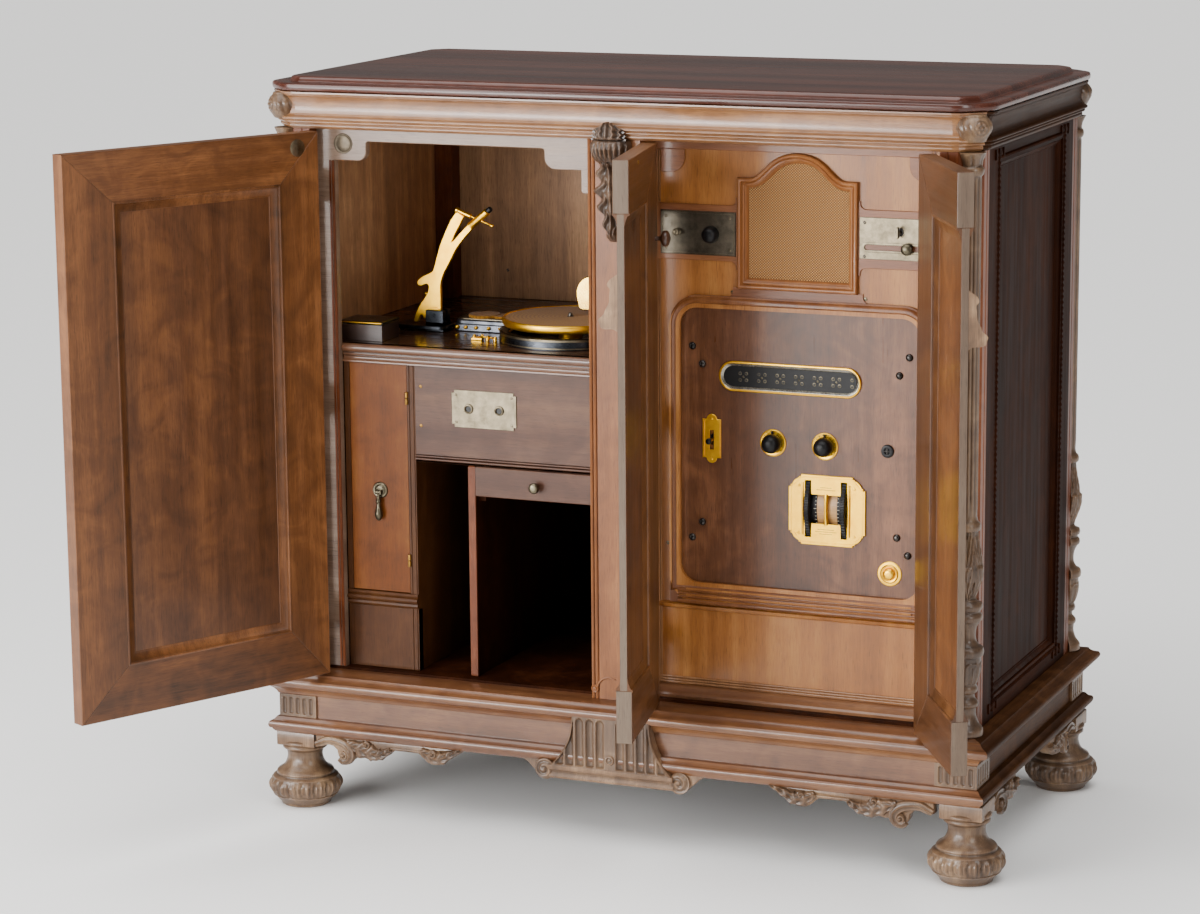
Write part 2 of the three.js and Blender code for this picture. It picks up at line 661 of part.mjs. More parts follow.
function makeDeck() {
  const half = partitionThickness / 2;
  const inner = sideInnerX - gap;
  const board = raise(outline([
    [gap - postInnerX, faceFrameY + faceFrameDepth + gap], [-stileHalfWidth - gap, faceFrameY + faceFrameDepth + gap],
    [-stileHalfWidth - gap, boardFrontY], [-half - gap, boardFrontY], [-half - gap, backInnerY - gap],
    [gap - postInnerX, backInnerY - gap], [gap - postInnerX, postInnerY - gap], [-inner, postInnerY - gap],
    [-inner, gap - postInnerY], [gap - postInnerX, gap - postInnerY],
  ]), [deckBottom, deckTop]);
  const nose = outline([
    [deckNoseY + 8, deckMouldingBottom], [deckNoseY + 2, deckMouldingBottom + 3],
    [deckNoseY + 4, deckMouldingBottom + 12], [deckNoseY, deckTop - 10], [deckNoseY, deckTop - 3],
    [deckNoseY + 3, deckTop], [deckNoseY + 20, deckTop], [deckNoseY + 20, deckMouldingBottom],
  ]);
  const moulding = runAcross(nose, [jambInnerX + gap, -stileHalfWidth - gap]);
  const shaftHole = turned(rod(bearingRadius + 1, deckBottom - 1, deckTop + 1), 16, platterX, platterY);
  addPiece('deck_board', cut(join(board, moulding), shaftHole), walnut);
}

// ---------------------------------------------------------------- fittings under the deck
const narrowDoorX = [-467, -368];
const narrowDoorZ = [357, 722];
const compartmentWallX = [-367.5, -354];
const fittingsTop = deckMouldingBottom - gap;
const shelfZ = [570, 583];
const dividerX = [-264, -253];
const fittingsBackY = backInnerY - 12;
const fittingsThickness = 14;
const narrowPinX = narrowDoorX[1] + 0.5;
const narrowPinY = fittingsFrontY - 2;
const narrowHingeHeights = [410, 670];
const narrowKnuckleRadius = 3;
const narrowKnuckleLength = 10;

const drawerX = [dividerX[1] + 1, -stileHalfWidth - 1];
const drawerZ = [522, 569];
const drawerBackY = -20;
const drawerRunnerInner = -drawerX[1] + 12;
const runnerHeight = [drawerZ[0] - 10, drawerZ[0] - gap];

function makeRecordFront() {
  const fit = [fittingsFrontY, fittingsFrontY + fittingsThickness];
  const leftX = jambInnerX + gap;
  const lowerTop = narrowDoorZ[0] - 1;
  const sill = outline([
    [fit[0] + 1, lowerTop - 24], [fit[0] - 3, lowerTop - 20], [fit[0] - 5, lowerTop - 12],
    [fit[0] - 2, lowerTop - 5], [fit[0] - 4, lowerTop - 2], [fit[0] + 1, lowerTop],
  ]);
  const fixed = narrowHingeHeights.map((z) => {
    const span = [z - narrowKnuckleLength, z];
    return join(
      turned(rod(narrowKnuckleRadius, ...span), 8, narrowPinX, narrowPinY),
      block([narrowPinX, compartmentWallX[1] - 3], [narrowPinY, fit[0] + 1], span),
    );
  });
  const clearance = narrowHingeHeights.map((z) => turned(
    rod(narrowKnuckleRadius + 2 * gap, z, z + narrowKnuckleLength + 1), 8, narrowPinX, narrowPinY));
  const frame = join(
    block([leftX, narrowDoorX[0] - 1], fit, [floorTop + gap, fittingsTop]),
    block([leftX, compartmentWallX[1]], fit, [floorTop + gap, lowerTop]),
    runAcross(sill, [leftX, compartmentWallX[1]]),
    block(compartmentWallX, [fit[0], fittingsBackY], [floorTop + gap, fittingsTop]),
  );
  addPiece('record_front', join(cut(frame, ...clearance), ...fixed), walnut);
}

function makeNarrowDoor() {
  const hung = new THREE.Group();
  hung.position.set(narrowPinX, narrowPinY, 0);
  cabinet.add(hung);
  const face = fittingsFrontY - narrowPinY;
  const panel = block([narrowDoorX[0] - narrowPinX, -1], [face, face + 12], narrowDoorZ);
  const clearance = narrowHingeHeights.map((z) => turned(
    rod(narrowKnuckleRadius + 2 * gap, z - narrowKnuckleLength - 1, z + knuckleGap), 8, 0, 0));
  const knuckles = narrowHingeHeights.map((z) =>
    turned(rod(narrowKnuckleRadius, z + knuckleGap, z + narrowKnuckleLength), 8, 0, 0));
  const roseX = pullX - narrowPinX;
  const roseY = face + 1;
  const rose = turnedForward(rod(10, 0, 3.5), 14, roseX, roseY, pullZ);
  const ears = [-1, 1].map((side) => block(
    [roseX + side * 4, roseX + side * 6.5], [pullY - narrowPinY - 3, roseY], [pullZ - 3, pullZ + 4]));
  addPiece('narrow_door', join(cut(panel, ...clearance), ...knuckles, rose, ...ears), walnut, hung);
}

const pullX = -417;
const pullZ = 518;
const pullY = fittingsFrontY - 8;

// The drop pull: a small cross barrel between the ears, with a turned teardrop under it.
function makeDropPull() {
  const drop = [[0, 474], [3, 475], [5.5, 481], [5, 487], [2.5, 497], [2, 517], [0, 517]];
  const barrel = turnedAcross(rod(3, -3.6, 3.6), 10, pullX, pullY, pullZ);
  addPiece('drop_pull', join(barrel, turned(drop, 12, pullX, pullY)), goldPlate);
}

const jackX = [-261, -209];
const jackZ = 660;
const jackPlateX = [-290, -180];
const jackPlateZ = [630, 689];

// A rectangle with a square step taken out of every corner.
const steppedPlate = ([x0, x1], [z0, z1], step) => [
  [x0 + step, z0], [x1 - step, z0], [x1 - step, z0 + step], [x1, z0 + step], [x1, z1 - step],
  [x1 - step, z1 - step], [x1 - step, z1], [x0 + step, z1], [x0 + step, z1 - step], [x0, z1 - step],
  [x0, z0 + step], [x0 + step, z0 + step],
];

function makeJackPanel() {
  const half = partitionThickness / 2;
  const [x0, x1] = [compartmentWallX[1] + gap, -stileHalfWidth - gap];
  const fit = [fittingsFrontY, fittingsFrontY + 12];
  const face = block([x0, x1], fit, [shelfZ[0], fittingsTop]);
  const shelf = raise(outline([
    [x0, fittingsFrontY], [x1, fittingsFrontY], [x1, boardFrontY], [-half - gap, boardFrontY],
    [-half - gap, fittingsBackY], [x0, fittingsBackY],
  ]), shelfZ);
  const plate = facing(outline(steppedPlate(jackPlateX, jackPlateZ, 5)), [fit[0] - 2, fit[0] + 1]);
  const holes = jackX.map((x) => turnedForward(rod(4, -30, 20), 12, x, fit[0], jackZ));
  addPiece('jack_panel', cut(join(face, shelf, plate), ...holes), walnut);
}

function makeRecordDivider() {
  const wall = block(dividerX, [fittingsFrontY + 2, fittingsBackY], [floorTop + gap, shelfZ[0] - gap]);
  const runner = block([dividerX[1] - 1, dividerX[1] + 11], [fittingsFrontY + 16, drawerBackY], runnerHeight);
  addPiece('record_divider', join(wall, runner), darkWalnut);
}

function makeDrawer() {
  const wall = 8;
  const front = block(drawerX, [fittingsFrontY, fittingsFrontY + 14], drawerZ);
  const boxX = [drawerX[0] + 2, drawerX[1] - 2];
  const box = block(boxX, [fittingsFrontY + 13, drawerBackY], [drawerZ[0], drawerZ[1] - 5]);
  const hollow = block([boxX[0] + wall, boxX[1] - wall], [fittingsFrontY + 14, drawerBackY - wall],
    [drawerZ[0] + 5, drawerZ[1] + 1]);
  const knob = turnedForward([[0, 0], [3, 0], [3, 4], [7, 8], [6, 12], [0, 13]], 14,
    (drawerX[0] + drawerX[1]) / 2, fittingsFrontY + 1, drawerZ[0] + 22);
  addPiece('drawer', join(cut(box, hollow), front, knob), walnut);
}

// ---------------------------------------------------------------- turntable
const shaftBottom = deckBottom - 30;
const hoopTop = 770;

function makeTurntable() {
  const motor = [
    [0, deckBottom - 90], [60, deckBottom - 90], [70, deckBottom - 78], [70, deckBottom - 12],
    [64, deckBottom - gap], [bearingRadius, deckBottom - gap], [bearingRadius, deckTop - 1], [6.6, deckTop - 1],
    [6.6, shaftBottom - 1], [0, shaftBottom - 1],
  ];
  addPiece('motor_unit', turned(motor, 18, platterX, platterY), castMetal);
  const platter = [
    [0, shaftBottom], [6, shaftBottom], [6, deckTop + 1], [18, deckTop + 2], [20, platterTop - 12],
    [platterRadius - 8, platterTop - 12], [platterRadius, platterTop - 9], [platterRadius, platterTop + 1],
    [platterRadius - 4, platterTop + 2], [platterRadius - 6, platterTop], [4, platterTop],
    [3.5, platterTop + 5], [0, platterTop + 7],
  ];
  addPiece('platter', turned(platter, 28, platterX, platterY), brownFelt);
}

// ---------------------------------------------------------------- record changer
const armPivotX = -388;
const armPivotZ = 781;
const armY = -90;
const armThickness = 7;
const carriageX = [-365, -258];
const carriageY = [-83, -20];
const trayX = [-455, armPivotX + 22];
const trayY = [-112, -58];

function makeChanger() {
  const base = deckTop + gap;
  const hoop = turned(ring(platterRadius - 10, platterRadius + 4, base, hoopTop), 36, platterX, platterY);
  const carriage = raise(roundedRectangle(...carriageX, ...carriageY, 14), [base, base + 20], 3);
  const felt = turned(rod(26, base + 19, base + 25), 20, carriageX[0] + 44, carriageY[0] + 31);
  addPiece('changer_bed', join(hoop, carriage, felt), castMetal);

  const cheek = armThickness / 2 + gap;
  const plate = raise(roundedRectangle(...trayX, ...trayY, 10), [base + 4, base + 10], 3);
  const posts = [[trayX[0] + 11, trayY[0] + 11], [trayX[0] + 11, trayY[1] - 11], [armPivotX + 10, trayY[1] - 8]];
  const feet = posts.map(([x, y]) => turned(rod(4, base, base + 5), 10, x, y));
  const tower = block([armPivotX - 13, armPivotX + 17], [armY - 14, armY + 14], [base, armPivotZ + 6]);
  const slot = block([armPivotX - 20, armPivotX + 20], [armY - cheek, armY + cheek],
    [armPivotZ - 13, armPivotZ + 10]);
  addPiece('changer_base', join(plate, ...feet, cut(tower, slot)), castMetal);
}

// The arm that lifts each record: a forked gold lever with a cross pin and a capped finger.
const pinSlope = 20.5;
const capSlope = 39;

function makeChangerArm() {
  const s = new THREE.Shape();
  s.moveTo(-379, 776);
  s.lineTo(-379, 825);
  s.bezierCurveTo(-376, 840, -366, 856, -359, 868);
  s.bezierCurveTo(-352, 884, -338, 902, -322, 919);
  s.lineTo(-328, 926);
  s.lineTo(-358, 897);
  s.lineTo(-336, 938);
  s.lineTo(-349, 946);
  s.lineTo(-369, 913);
  s.bezierCurveTo(-376, 898, -384, 882, -392, 851);
  s.lineTo(-400, 840);
  s.quadraticCurveTo(-416, 842, -420, 830);
  s.quadraticCurveTo(-412, 822, -404, 827);
  s.quadraticCurveTo(-398, 806, -411, 797);
  s.quadraticCurveTo(-428, 784, -427, 766);
  s.quadraticCurveTo(-418, 764, -411, 779);
  s.lineTo(-396, 776);
  const y = [armY - armThickness / 2, armY + armThickness / 2];
  const hub = turnedForward(rod(9, 0, armThickness), 14, armPivotX, y[1], armPivotZ);
  const pin = turnedAcross([
    [0, 0], [5, 0], [5, 3], [4, 4], [4, 27], [1.6, 28], [1.6, 63], [2.8, 65], [2.8, 68], [0, 69],
  ], 10, 0, 0, 0);
  pin.rotateY(degrees(pinSlope)).translate(-351, armY, 948);
  const cap = turnedAcross([[0, 0], [5.5, 0], [6, 2], [6, 38], [4.5, 40], [4.5, 46], [3, 48], [0, 48]], 12, 0, 0, 0);
  cap.rotateY(degrees(-capSlope)).translate(-327, armY, 922.5);
  addPiece('changer_arm', join(facing(s, y, 4), hub, pin, cap), goldPlate);
}

// ---------------------------------------------------------------- pickup arm
const pickupX = -45;
const pickupY = 95;
const headX = -122;
const headZ = 796;

function makePickup() {
  const base = deckTop + gap;
  const post = turned([[0, base], [20, base], [20, base + 6], [12, base + 12], [12, base + 48],
    [15, base + 52], [15, base + 64], [0, base + 68]], 12, pickupX, pickupY);
  const armHeight = base + 58;
  const curve = new THREE.CatmullRomCurve3([
    new THREE.Vector3(pickupX, pickupY, armHeight), new THREE.Vector3(pickupX - 18, pickupY - 50, armHeight + 10),
    new THREE.Vector3(headX + 22, 0, armHeight + 12), new THREE.Vector3(headX, -62, armHeight + 6),
  ]);
  const tube = new THREE.ExtrudeGeometry(new THREE.Shape().absarc(0, 0, 6, 0, 2 * Math.PI),
    { steps: 8, extrudePath: curve, curveSegments: 4 });
  const plate = new THREE.Shape();
  plate.moveTo(headX - 28, headZ + 21);
  plate.absarc(headX, headZ + 28, 28, Math.PI, 0, true);
  plate.lineTo(headX + 28, headZ + 21);
  plate.absarc(headX, headZ + 21, 21, 0, -Math.PI, true);
  const head = facing(plate, [-80, -60], 8);
  addPiece('pickup_arm', join(post, tube, head), goldPlate);
}

// ---------------------------------------------------------------- accessory box
const boxX = [-494, -421];
const boxY = [fittingsFrontY + 24, fittingsFrontY + 86];
const boxTop = deckTop + 26;
const lidThickness = 5;

function makeAccessoryBox() {
  const wall = 4;
  const outer = block(boxX, boxY, [deckTop + gap, boxTop]);
  const inner = block([boxX[0] + wall, boxX[1] - wall], [boxY[0] + wall, boxY[1] - wall],
    [deckTop + wall, boxTop + 1]);
  addPiece('accessory_box', cut(outer, inner), darkWalnut);
  const lid = block([boxX[0] - 1, boxX[1] + 1], [boxY[0] - 1, boxY[1]], [boxTop + gap, boxTop + gap + lidThickness]);
  addPiece('box_lid', lid, goldPlate);
}

// ---------------------------------------------------------------- radio board
const boardBackY = boardFrontY + boardThickness;
const grilleX = 273.5;
const grilleHalf = 94.5;
const grilleBottom = 869;
const grilleShoulder = 1036;
const grilleApex = 1075;
const grilleFrameWidth = 16;
const clothRebate = 7;
const speakerZ = 957;
const speakerOpening = 78;

// The grille's outline: square shoulders and a round dome between hollow curves, `inset` inside.
function grilleOutline(inset) {
  const half = grilleHalf - inset;
  const flat = 17;
  const shoulder = grilleShoulder - inset;
  const s = new THREE.Shape();
  s.moveTo(grilleX - half, grilleBottom + inset);
  s.lineTo(grilleX + half, grilleBottom + inset);
  s.lineTo(grilleX + half, shoulder);
  s.lineTo(grilleX + half - flat, shoulder);
  s.bezierCurveTo(grilleX + half * 0.56, shoulder, grilleX + half * 0.51, grilleApex - inset,
    grilleX, grilleApex - inset);
  s.bezierCurveTo(grilleX - half * 0.51, grilleApex - inset, grilleX - half * 0.56, shoulder,
    grilleX - half + flat, shoulder);
  s.lineTo(grilleX - half, shoulder);
  return s;
}

const panelX = [88, 467];
const panelZ = [414, 838];
const frameWidth = 18;
const frameBottom = 380;
const panelCorner = 28;
const frameProud = 10;
const reedPitch = 9;
const jambX = 484;
const jambFrontY = boardFrontY - 20;

const dialX = [262, 383];
const dialZ = [487, 594];
const wheelX = [292.8, 349.5];
const wheelZ = 542;
const wheelRadius = 70;
const wheelHalf = 3.8;            // half the width of a wheel's milled rim
const drumRadius = 55.5;          // its numbered drum, which shows in the dial's window
const dialMiddleX = (wheelX[0] + wheelX[1]) / 2;
const dialBarHalf = 4;
const dialWindowHalf = 22;
const wheelFrontY = boardFrontY - 18;
const wheelY = wheelFrontY + wheelRadius;
const wheelClear = 1.5;
const axleRadius = 4;

const knobZ = 638;
const rheostatX = [236, 318.4];
const selectorX = 137;
const selectorZ = 948.6;
const keyX = 432;
const keyZ = 965;
const sliderX = 444.7;
const sliderZ = 940.5;
const sliderSlot = [378, 477];
const toggleX = 137.7;
const toggleZ = 636;
const buttonX = 421;
const buttonZ = 451.4;
const spindleRadius = 3;
const spindleClear = 3.5;

// Slots that let the two tuning wheels and their drums through a board whose back is at backY.
function wheelSlots(backY) {
  const chord = (radius) => Math.sqrt(radius ** 2 - (wheelY - backY) ** 2) + wheelClear;
  const half = wheelHalf + wheelClear;
  const depth = [wheelFrontY - 10, backY + 1];
  const [rim, drum] = [chord(wheelRadius), Math.max(chord(drumRadius), dialWindowHalf + 2)];
  return [
    ...wheelX.map((x) => block([x - half, x + half], depth, [wheelZ - rim, wheelZ + rim])),
    block(wheelX, depth, [wheelZ - drum, wheelZ + drum]),
  ];
}

const spindleHole = (x, z, radius = spindleClear) =>
  turnedForward(rod(radius, -40, 60), 10, x, boardFrontY, z);

function makeRadioBoard() {
  const left = partitionThickness / 2 + gap;
  const right = postInnerX - gap;
  const y = [boardFrontY, boardBackY];
  const board = block([left, right], y, [floorTop + gap, corniceBottom - gap]);
  const speakerHole = turnedForward(rod(speakerOpening, -40, 40), 28, grilleX, boardFrontY, speakerZ);
  const clothRecess = facing(grilleOutline(10), [boardFrontY - 1, boardFrontY + clothRebate], 6);

  const frame = roundedRectangle(panelX[0] - frameWidth, panelX[1] + frameWidth, frameBottom,
    panelZ[1] + 12, panelCorner + frameWidth);
  frame.holes.push(roundedRectangle(panelX[0], panelX[1], panelZ[0], panelZ[1], panelCorner));
  const frameBody = facing(frame, [boardFrontY - frameProud, boardFrontY + 1], 5);

  const jamb = block([jambX, right], [jambFrontY, boardFrontY + 1], [floorTop + gap, corniceBottom - gap]);
  const ledge = outline([
    [boardFrontY + 1, frameBottom - 12], [boardFrontY - 4, frameBottom - 9], [boardFrontY - 6, frameBottom - 4],
    [boardFrontY + 1, frameBottom],
  ]);
  const sill = outline([
    [boardFrontY + 1, floorTop + gap], [boardFrontY - 20, floorTop + gap], [boardFrontY - 20, floorTop + 6],
    [boardFrontY - 12, floorTop + 10], [boardFrontY + 1, floorTop + 16],
  ]);
  const stileSide = stileHalfWidth + gap;
  const reeds = [0, 1, 2].map((i) => {
    const z = frameBottom + 5 + i * reedPitch;
    const front = boardFrontY - frameProud;
    return runAcross(outline([[front + 1, z - 3], [front - 1.5, z - 2], [front - 2.5, z], [front - 1.5, z + 2],
      [front + 1, z + 3]]), [panelX[0] - frameWidth + panelCorner, panelX[1] + frameWidth - panelCorner]);
  });
  const body = join(board, frameBody, jamb, runAcross(ledge, [stileSide, jambX + 1]),
    runAcross(sill, [stileSide, jambX + 1]), ...reeds);
  const holes = [
    ...rheostatX.map((x) => spindleHole(x, knobZ)), spindleHole(selectorX, selectorZ),
    spindleHole(buttonX, buttonZ), spindleHole(keyX, keyZ), spindleHole(toggleX, toggleZ, 9),
    ...wheelSlots(boardBackY),
  ];
  addPiece('radio_board', cut(body, clothRecess, speakerHole, ...holes), boardWalnut);
}

function makeGrille() {
  const shape = grilleOutline(0);
  shape.holes.push(grilleOutline(grilleFrameWidth));
  addPiece('grille_frame', facing(shape, [boardFrontY - 8, boardFrontY - gap], 6), boardWalnut);
  const clothBack = boardFrontY + clothRebate - gap;
  addPiece('grille_cloth', facing(grilleOutline(10 + gap), [clothBack - 4, clothBack], 6), grilleFabric);

  // Moving-coil loudspeaker: flange, paper cone open to the front, basket and magnet.
  const speaker = [
    [0, -92], [34, -92], [34, -60], [44, -60], [44, -56], [speakerOpening, -8], [speakerOpening + 12, -5],
    [speakerOpening + 12, 0], [speakerOpening - 2, 0], [24, -30], [0, -30],
  ];
  addPiece('loudspeaker', turnedForward(speaker, 24, grilleX, boardBackY + gap, speakerZ), castMetal);
}

// ---------------------------------------------------------------- radio panels
const panelProud = 4;
const plateThickness = 3;
const panelFrontY = boardFrontY - panelProud;
const plateFrontY = panelFrontY - plateThickness;

const windowX = [150, 375];       // the bezel round the socket strip
const windowZ = [713.5, 759];
const bezelWidth = 7;
const switchPlateX = [122.5, 153];
const switchPlateZ = [608.5, 668];
const escutcheonRadius = 21;
const jackSocketX = 416.5;
const selectorPlateX = [55.6, 176];
const selectorPlateZ = [917, 983];
const lockPlateX = [370, jambX - 1];
const lockPlateZ = [923, 985];

const socketZ = 736;
const socketX = [188.7, 218.2, 247.7, 277.2, 306.7, 336.2];   // middles of the groups of four

// Blind holes of the socket strip: six groups of four and one last pair.
function socketHoles() {
  const offset = 5;
  const pairs = [...socketX.flatMap((x) => [x - offset, x + offset]), 361];
  return pairs.flatMap((x) => [-offset, offset].map((z) =>
    turnedForward(rod(1.8, 0, 3), 8, x, panelFrontY + 1, socketZ + z)));
}

function makeControlPanel() {
  const face = facing(roundedRectangle(panelX[0] + gap, panelX[1] - gap, panelZ[0] + gap, panelZ[1] - gap,
    panelCorner - gap), [panelFrontY, boardFrontY - gap], 5);
  const pill = (inset) => roundedRectangle(windowX[0] + inset, windowX[1] - inset,
    windowZ[0] + inset, windowZ[1] - inset, 22 - inset);
  const bezel = pill(0);
  bezel.holes.push(pill(bezelWidth));
  const strip = facing(pill(bezelWidth - 1), [panelFrontY - 1.5, panelFrontY + 1], 3);
  const sockets = socketHoles();
  const plateDepth = [panelFrontY - 2, panelFrontY + 1];
  const switchPlate = [
    facing(roundedRectangle(...switchPlateX, ...switchPlateZ, 4), plateDepth, 3),
    ...[switchPlateZ[0] + 3.5, switchPlateZ[1] - 3.5].map((z) =>
      turnedForward(rod(10.4, -1, 2), 14, toggleX, panelFrontY, z)),
  ];
  const rings = rheostatX.map((x) =>
    turnedForward(rod(escutcheonRadius, -1, 3), 16, x, panelFrontY, knobZ));
  const socket = turnedForward(ring(4, 10, -1, 4), 12, jackSocketX, panelFrontY, knobZ);
  const buttonRing = turnedForward(rod(19, -1, 4), 16, buttonX, panelFrontY, buttonZ);
  const body = join(face, strip, facing(bezel, [panelFrontY - 4, panelFrontY + 1], 3), ...switchPlate, ...rings,
    socket, buttonRing);
  const holes = [
    ...sockets,
    ...rheostatX.map((x) => spindleHole(x, knobZ)), spindleHole(buttonX, buttonZ, 9.5),
    block([toggleX - 3.5, toggleX + 3.5], [-260, boardFrontY], [toggleZ - 16, toggleZ + 16]),
    ...wheelSlots(boardFrontY - gap),
  ];
  addPiece('control_panel', cut(body, ...holes), figuredWalnut);
}

const dialSlotHalf = 43.2;
const slotRim = 1.2;              // how proud the rim round the slider's slot stands

// The dial plate's outline: a straight tab on each side and a rounded shoulder at each corner.
function dialOutline() {
  const [x0, x1] = dialX;
  const [z0, z1] = dialZ;
  const [tab, step, radius] = [19.5, 5, 14.5];
  const s = new THREE.Shape();
  s.moveTo(x0 + tab, z0);
  s.lineTo(x1 - tab, z0);
  s.absarc(x1 - step - radius, z0 + step + radius, radius, -Math.PI / 2, 0);
  s.lineTo(x1, z0 + tab);
  s.lineTo(x1, z1 - tab);
  s.absarc(x1 - step - radius, z1 - step - radius, radius, 0, Math.PI / 2);
  s.lineTo(x1 - tab, z1);
  s.lineTo(x0 + tab, z1);
  s.absarc(x0 + step + radius, z1 - step - radius, radius, Math.PI / 2, Math.PI);
  s.lineTo(x0, z1 - tab);
  s.lineTo(x0, z0 + tab);
  s.absarc(x0 + step + radius, z0 + step + radius, radius, Math.PI, Math.PI * 1.5);
  return s;
}

function makePlates() {
  const back = boardFrontY - gap;
  const front = back - plateThickness;
  const selector = facing(roundedRectangle(...selectorPlateX, ...selectorPlateZ, 4), [front, back], 4);
  const stud = turnedForward([[0, 0], [7, 0], [4, 3], [5.5, 6], [4, 8], [0, 9]], 12, 83, back - 2, 951);
  addPiece('selector_plate', cut(join(selector, stud), spindleHole(selectorX, selectorZ)), darkPlate);

  const lock = facing(roundedRectangle(...lockPlateX, ...lockPlateZ, 3), [front, back], 4);
  const aroundSlot = (grow) => roundedRectangle(sliderSlot[0] - grow, sliderSlot[1] + grow,
    sliderZ - 4 - grow, sliderZ + 4 + grow, 3.9 + grow);
  const rim = facing(aroundSlot(3.5), [front - slotRim, front + 1], 4);
  const slot = facing(aroundSlot(0), [front - 3, back + 1], 4);
  addPiece('lock_plate', cut(join(lock, rim), slot, spindleHole(keyX, keyZ)), goldPlate);

  const dial = facing(dialOutline(), [plateFrontY - gap, panelFrontY - gap], 4);
  const depth = [plateFrontY - 1, panelFrontY];
  const slots = wheelX.map((x) => block([x - wheelHalf - 1, x + wheelHalf + 1], depth,
    [wheelZ - dialSlotHalf, wheelZ + dialSlotHalf]));
  const windows = [[wheelX[0], dialMiddleX - dialBarHalf], [dialMiddleX + dialBarHalf, wheelX[1]]].map((x) =>
    block(x, depth, [wheelZ - dialWindowHalf, wheelZ + dialWindowHalf]));
  addPiece('dial_plate', cut(dial, ...slots, ...windows), goldPlate);
}

// ---------------------------------------------------------------- radio controls
const spindleEndY = boardBackY - 1;

function makeControls() {
  const spindle = (x, z) => turnedForward(rod(spindleRadius, 0, spindleEndY - plateFrontY + 4), 10, x, spindleEndY, z);
  const knob = (radius, depth) => [
    [0, 0], [radius, 0], [radius, 5], [radius - 1, depth - 9], [radius - 4, depth - 4], [radius - 8, depth - 1],
    [0, depth],
  ];
  const frontOfBoard = boardFrontY - gap - plateThickness - gap;
  addPiece('selector_knob', join(spindle(selectorX, selectorZ),
    turnedForward(knob(13, 18), 14, selectorX, frontOfBoard, selectorZ)), blackBakelite);
  rheostatX.forEach((x, i) => {
    const front = panelFrontY - 3 - gap;
    addPiece(`rheostat_knob_${i === 0 ? 'left' : 'right'}`,
      join(spindle(x, knobZ), turnedForward(knob(15, 21), 14, x, front, knobZ)), blackBakelite);
  });

  const bow = join(
    turnedForward(rod(spindleRadius, 0, spindleEndY - frontOfBoard + 4), 10, keyX, spindleEndY, keyZ),
    block([keyX - 1.5, keyX + 1.5], [frontOfBoard - 14, frontOfBoard], [keyZ - 9, keyZ + 9]),
  );
  addPiece('lock_key', bow, goldPlate);

  const slider = join(
    turnedForward([[0, 0], [5, 0], [9, 3], [9, 6], [6, 9], [0, 10]], 16, sliderX, frontOfBoard - slotRim, sliderZ),
    block([sliderX - 5, sliderX + 5], [frontOfBoard - slotRim - 1, boardFrontY - gap],
      [sliderZ - 3, sliderZ + 3]),
  );
  addPiece('slider_knob', slider, goldPlate);

  const lever = turnedForward([[0, 0], [3, 0], [2.5, 10], [5, 15], [4, 20], [0, 22]], 12, toggleX,
    boardFrontY, toggleZ);
  addPiece('toggle_lever', lever, goldPlate);

  const button = join(
    turnedForward([[0, 0], [9, 0], [9, 6], [7, 8], [0, 8]], 16, buttonX, panelFrontY - gap, buttonZ),
    turnedForward(rod(spindleRadius, 0, 20), 10, buttonX, spindleEndY - 4, buttonZ),
  );
  addPiece('push_button', button, blackBakelite);

  wheelX.forEach((x, i) => {
    const outward = i === 0 ? -1 : 1;
    const axle = turnedAcross(rod(axleRadius, -24, 24), 12, x + outward * 12, wheelY, wheelZ);
    const rim = turnedAcross(rod(wheelRadius, -wheelHalf, wheelHalf), 36, x, wheelY, wheelZ);
    const drumEnd = dialMiddleX + outward;
    const drum = turnedAcross(rod(drumRadius, Math.min(0, drumEnd - x), Math.max(0, drumEnd - x)), 36, x,
      wheelY, wheelZ);
    addPiece(`tuning_wheel_${i === 0 ? 'left' : 'right'}`, join(rim, drum, axle), blackBakelite);
  });
}

// ---------------------------------------------------------------- radio chassis
const chassisX = [100, 455];
const chassisBackY = 60;
const chassisZ = [430, 700];
const coilX = [160, 220];
const valveX = [300, 350, 400];

function makeChassis() {
  const top = chassisZ[1];
  const body = block(chassisX, [boardBackY + gap, chassisBackY], chassisZ);
  const clear = wheelRadius + 6;
  const well = block([wheelX[0] - 14, wheelX[1] + 14], [boardBackY - 1, wheelY + clear],
    [wheelZ - clear, wheelZ + clear]);
  const bearing = turnedAcross(rod(axleRadius + 0.5, wheelX[0] - 40, wheelX[1] + 40), 12, 0, wheelY, wheelZ);
  const coils = coilX.map((x) => turned(rod(22, top - 1, top + 70), 16, x, -60));
  const valve = [[0, top - 1], [14, top - 1], [20, top + 30], [20, top + 62], [10, top + 84], [0, top + 86]];
  const valves = valveX.map((x) => turned(valve, 14, x, -90));
  addPiece('receiver_chassis', join(cut(body, well, bearing), ...coils, ...valves), castMetal);
}

makeTop();
makeCornice();
makePosts();
makeSides();
makeBack();
makeFloor();
makePlinth();
makeFeet();
makeCentre();
makeDoors();
makeFaceFrame();
makeDeck();
makeRecordFront();
makeNarrowDoor();
makeDropPull();
makeJackPanel();
makeRecordDivider();
makeDrawer();
makeTurntable();
makeChanger();
makeChangerArm();
makePickup();
makeAccessoryBox();
makeRadioBoard();
makeGrille();
makeControlPanel();
makePlates();
makeControls();
makeChassis();

// The origin is at the middle of the footprint, on the floor.
const extent = new THREE.Box3().setFromObject(cabinet);
const middle = extent.getCenter(new THREE.Vector3());
cabinet.position.set(-middle.x, -middle.y, -extent.min.z);

export default group;
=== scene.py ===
"""Looks of a walnut gramophone and radio cabinet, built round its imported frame.
Lengths are written in millimetres from the middle of the cabinet's plan on the floor."""
import bpy
import numpy as np
from mathutils import Matrix, Vector
from mathutils.geometry import tessellate_polygon


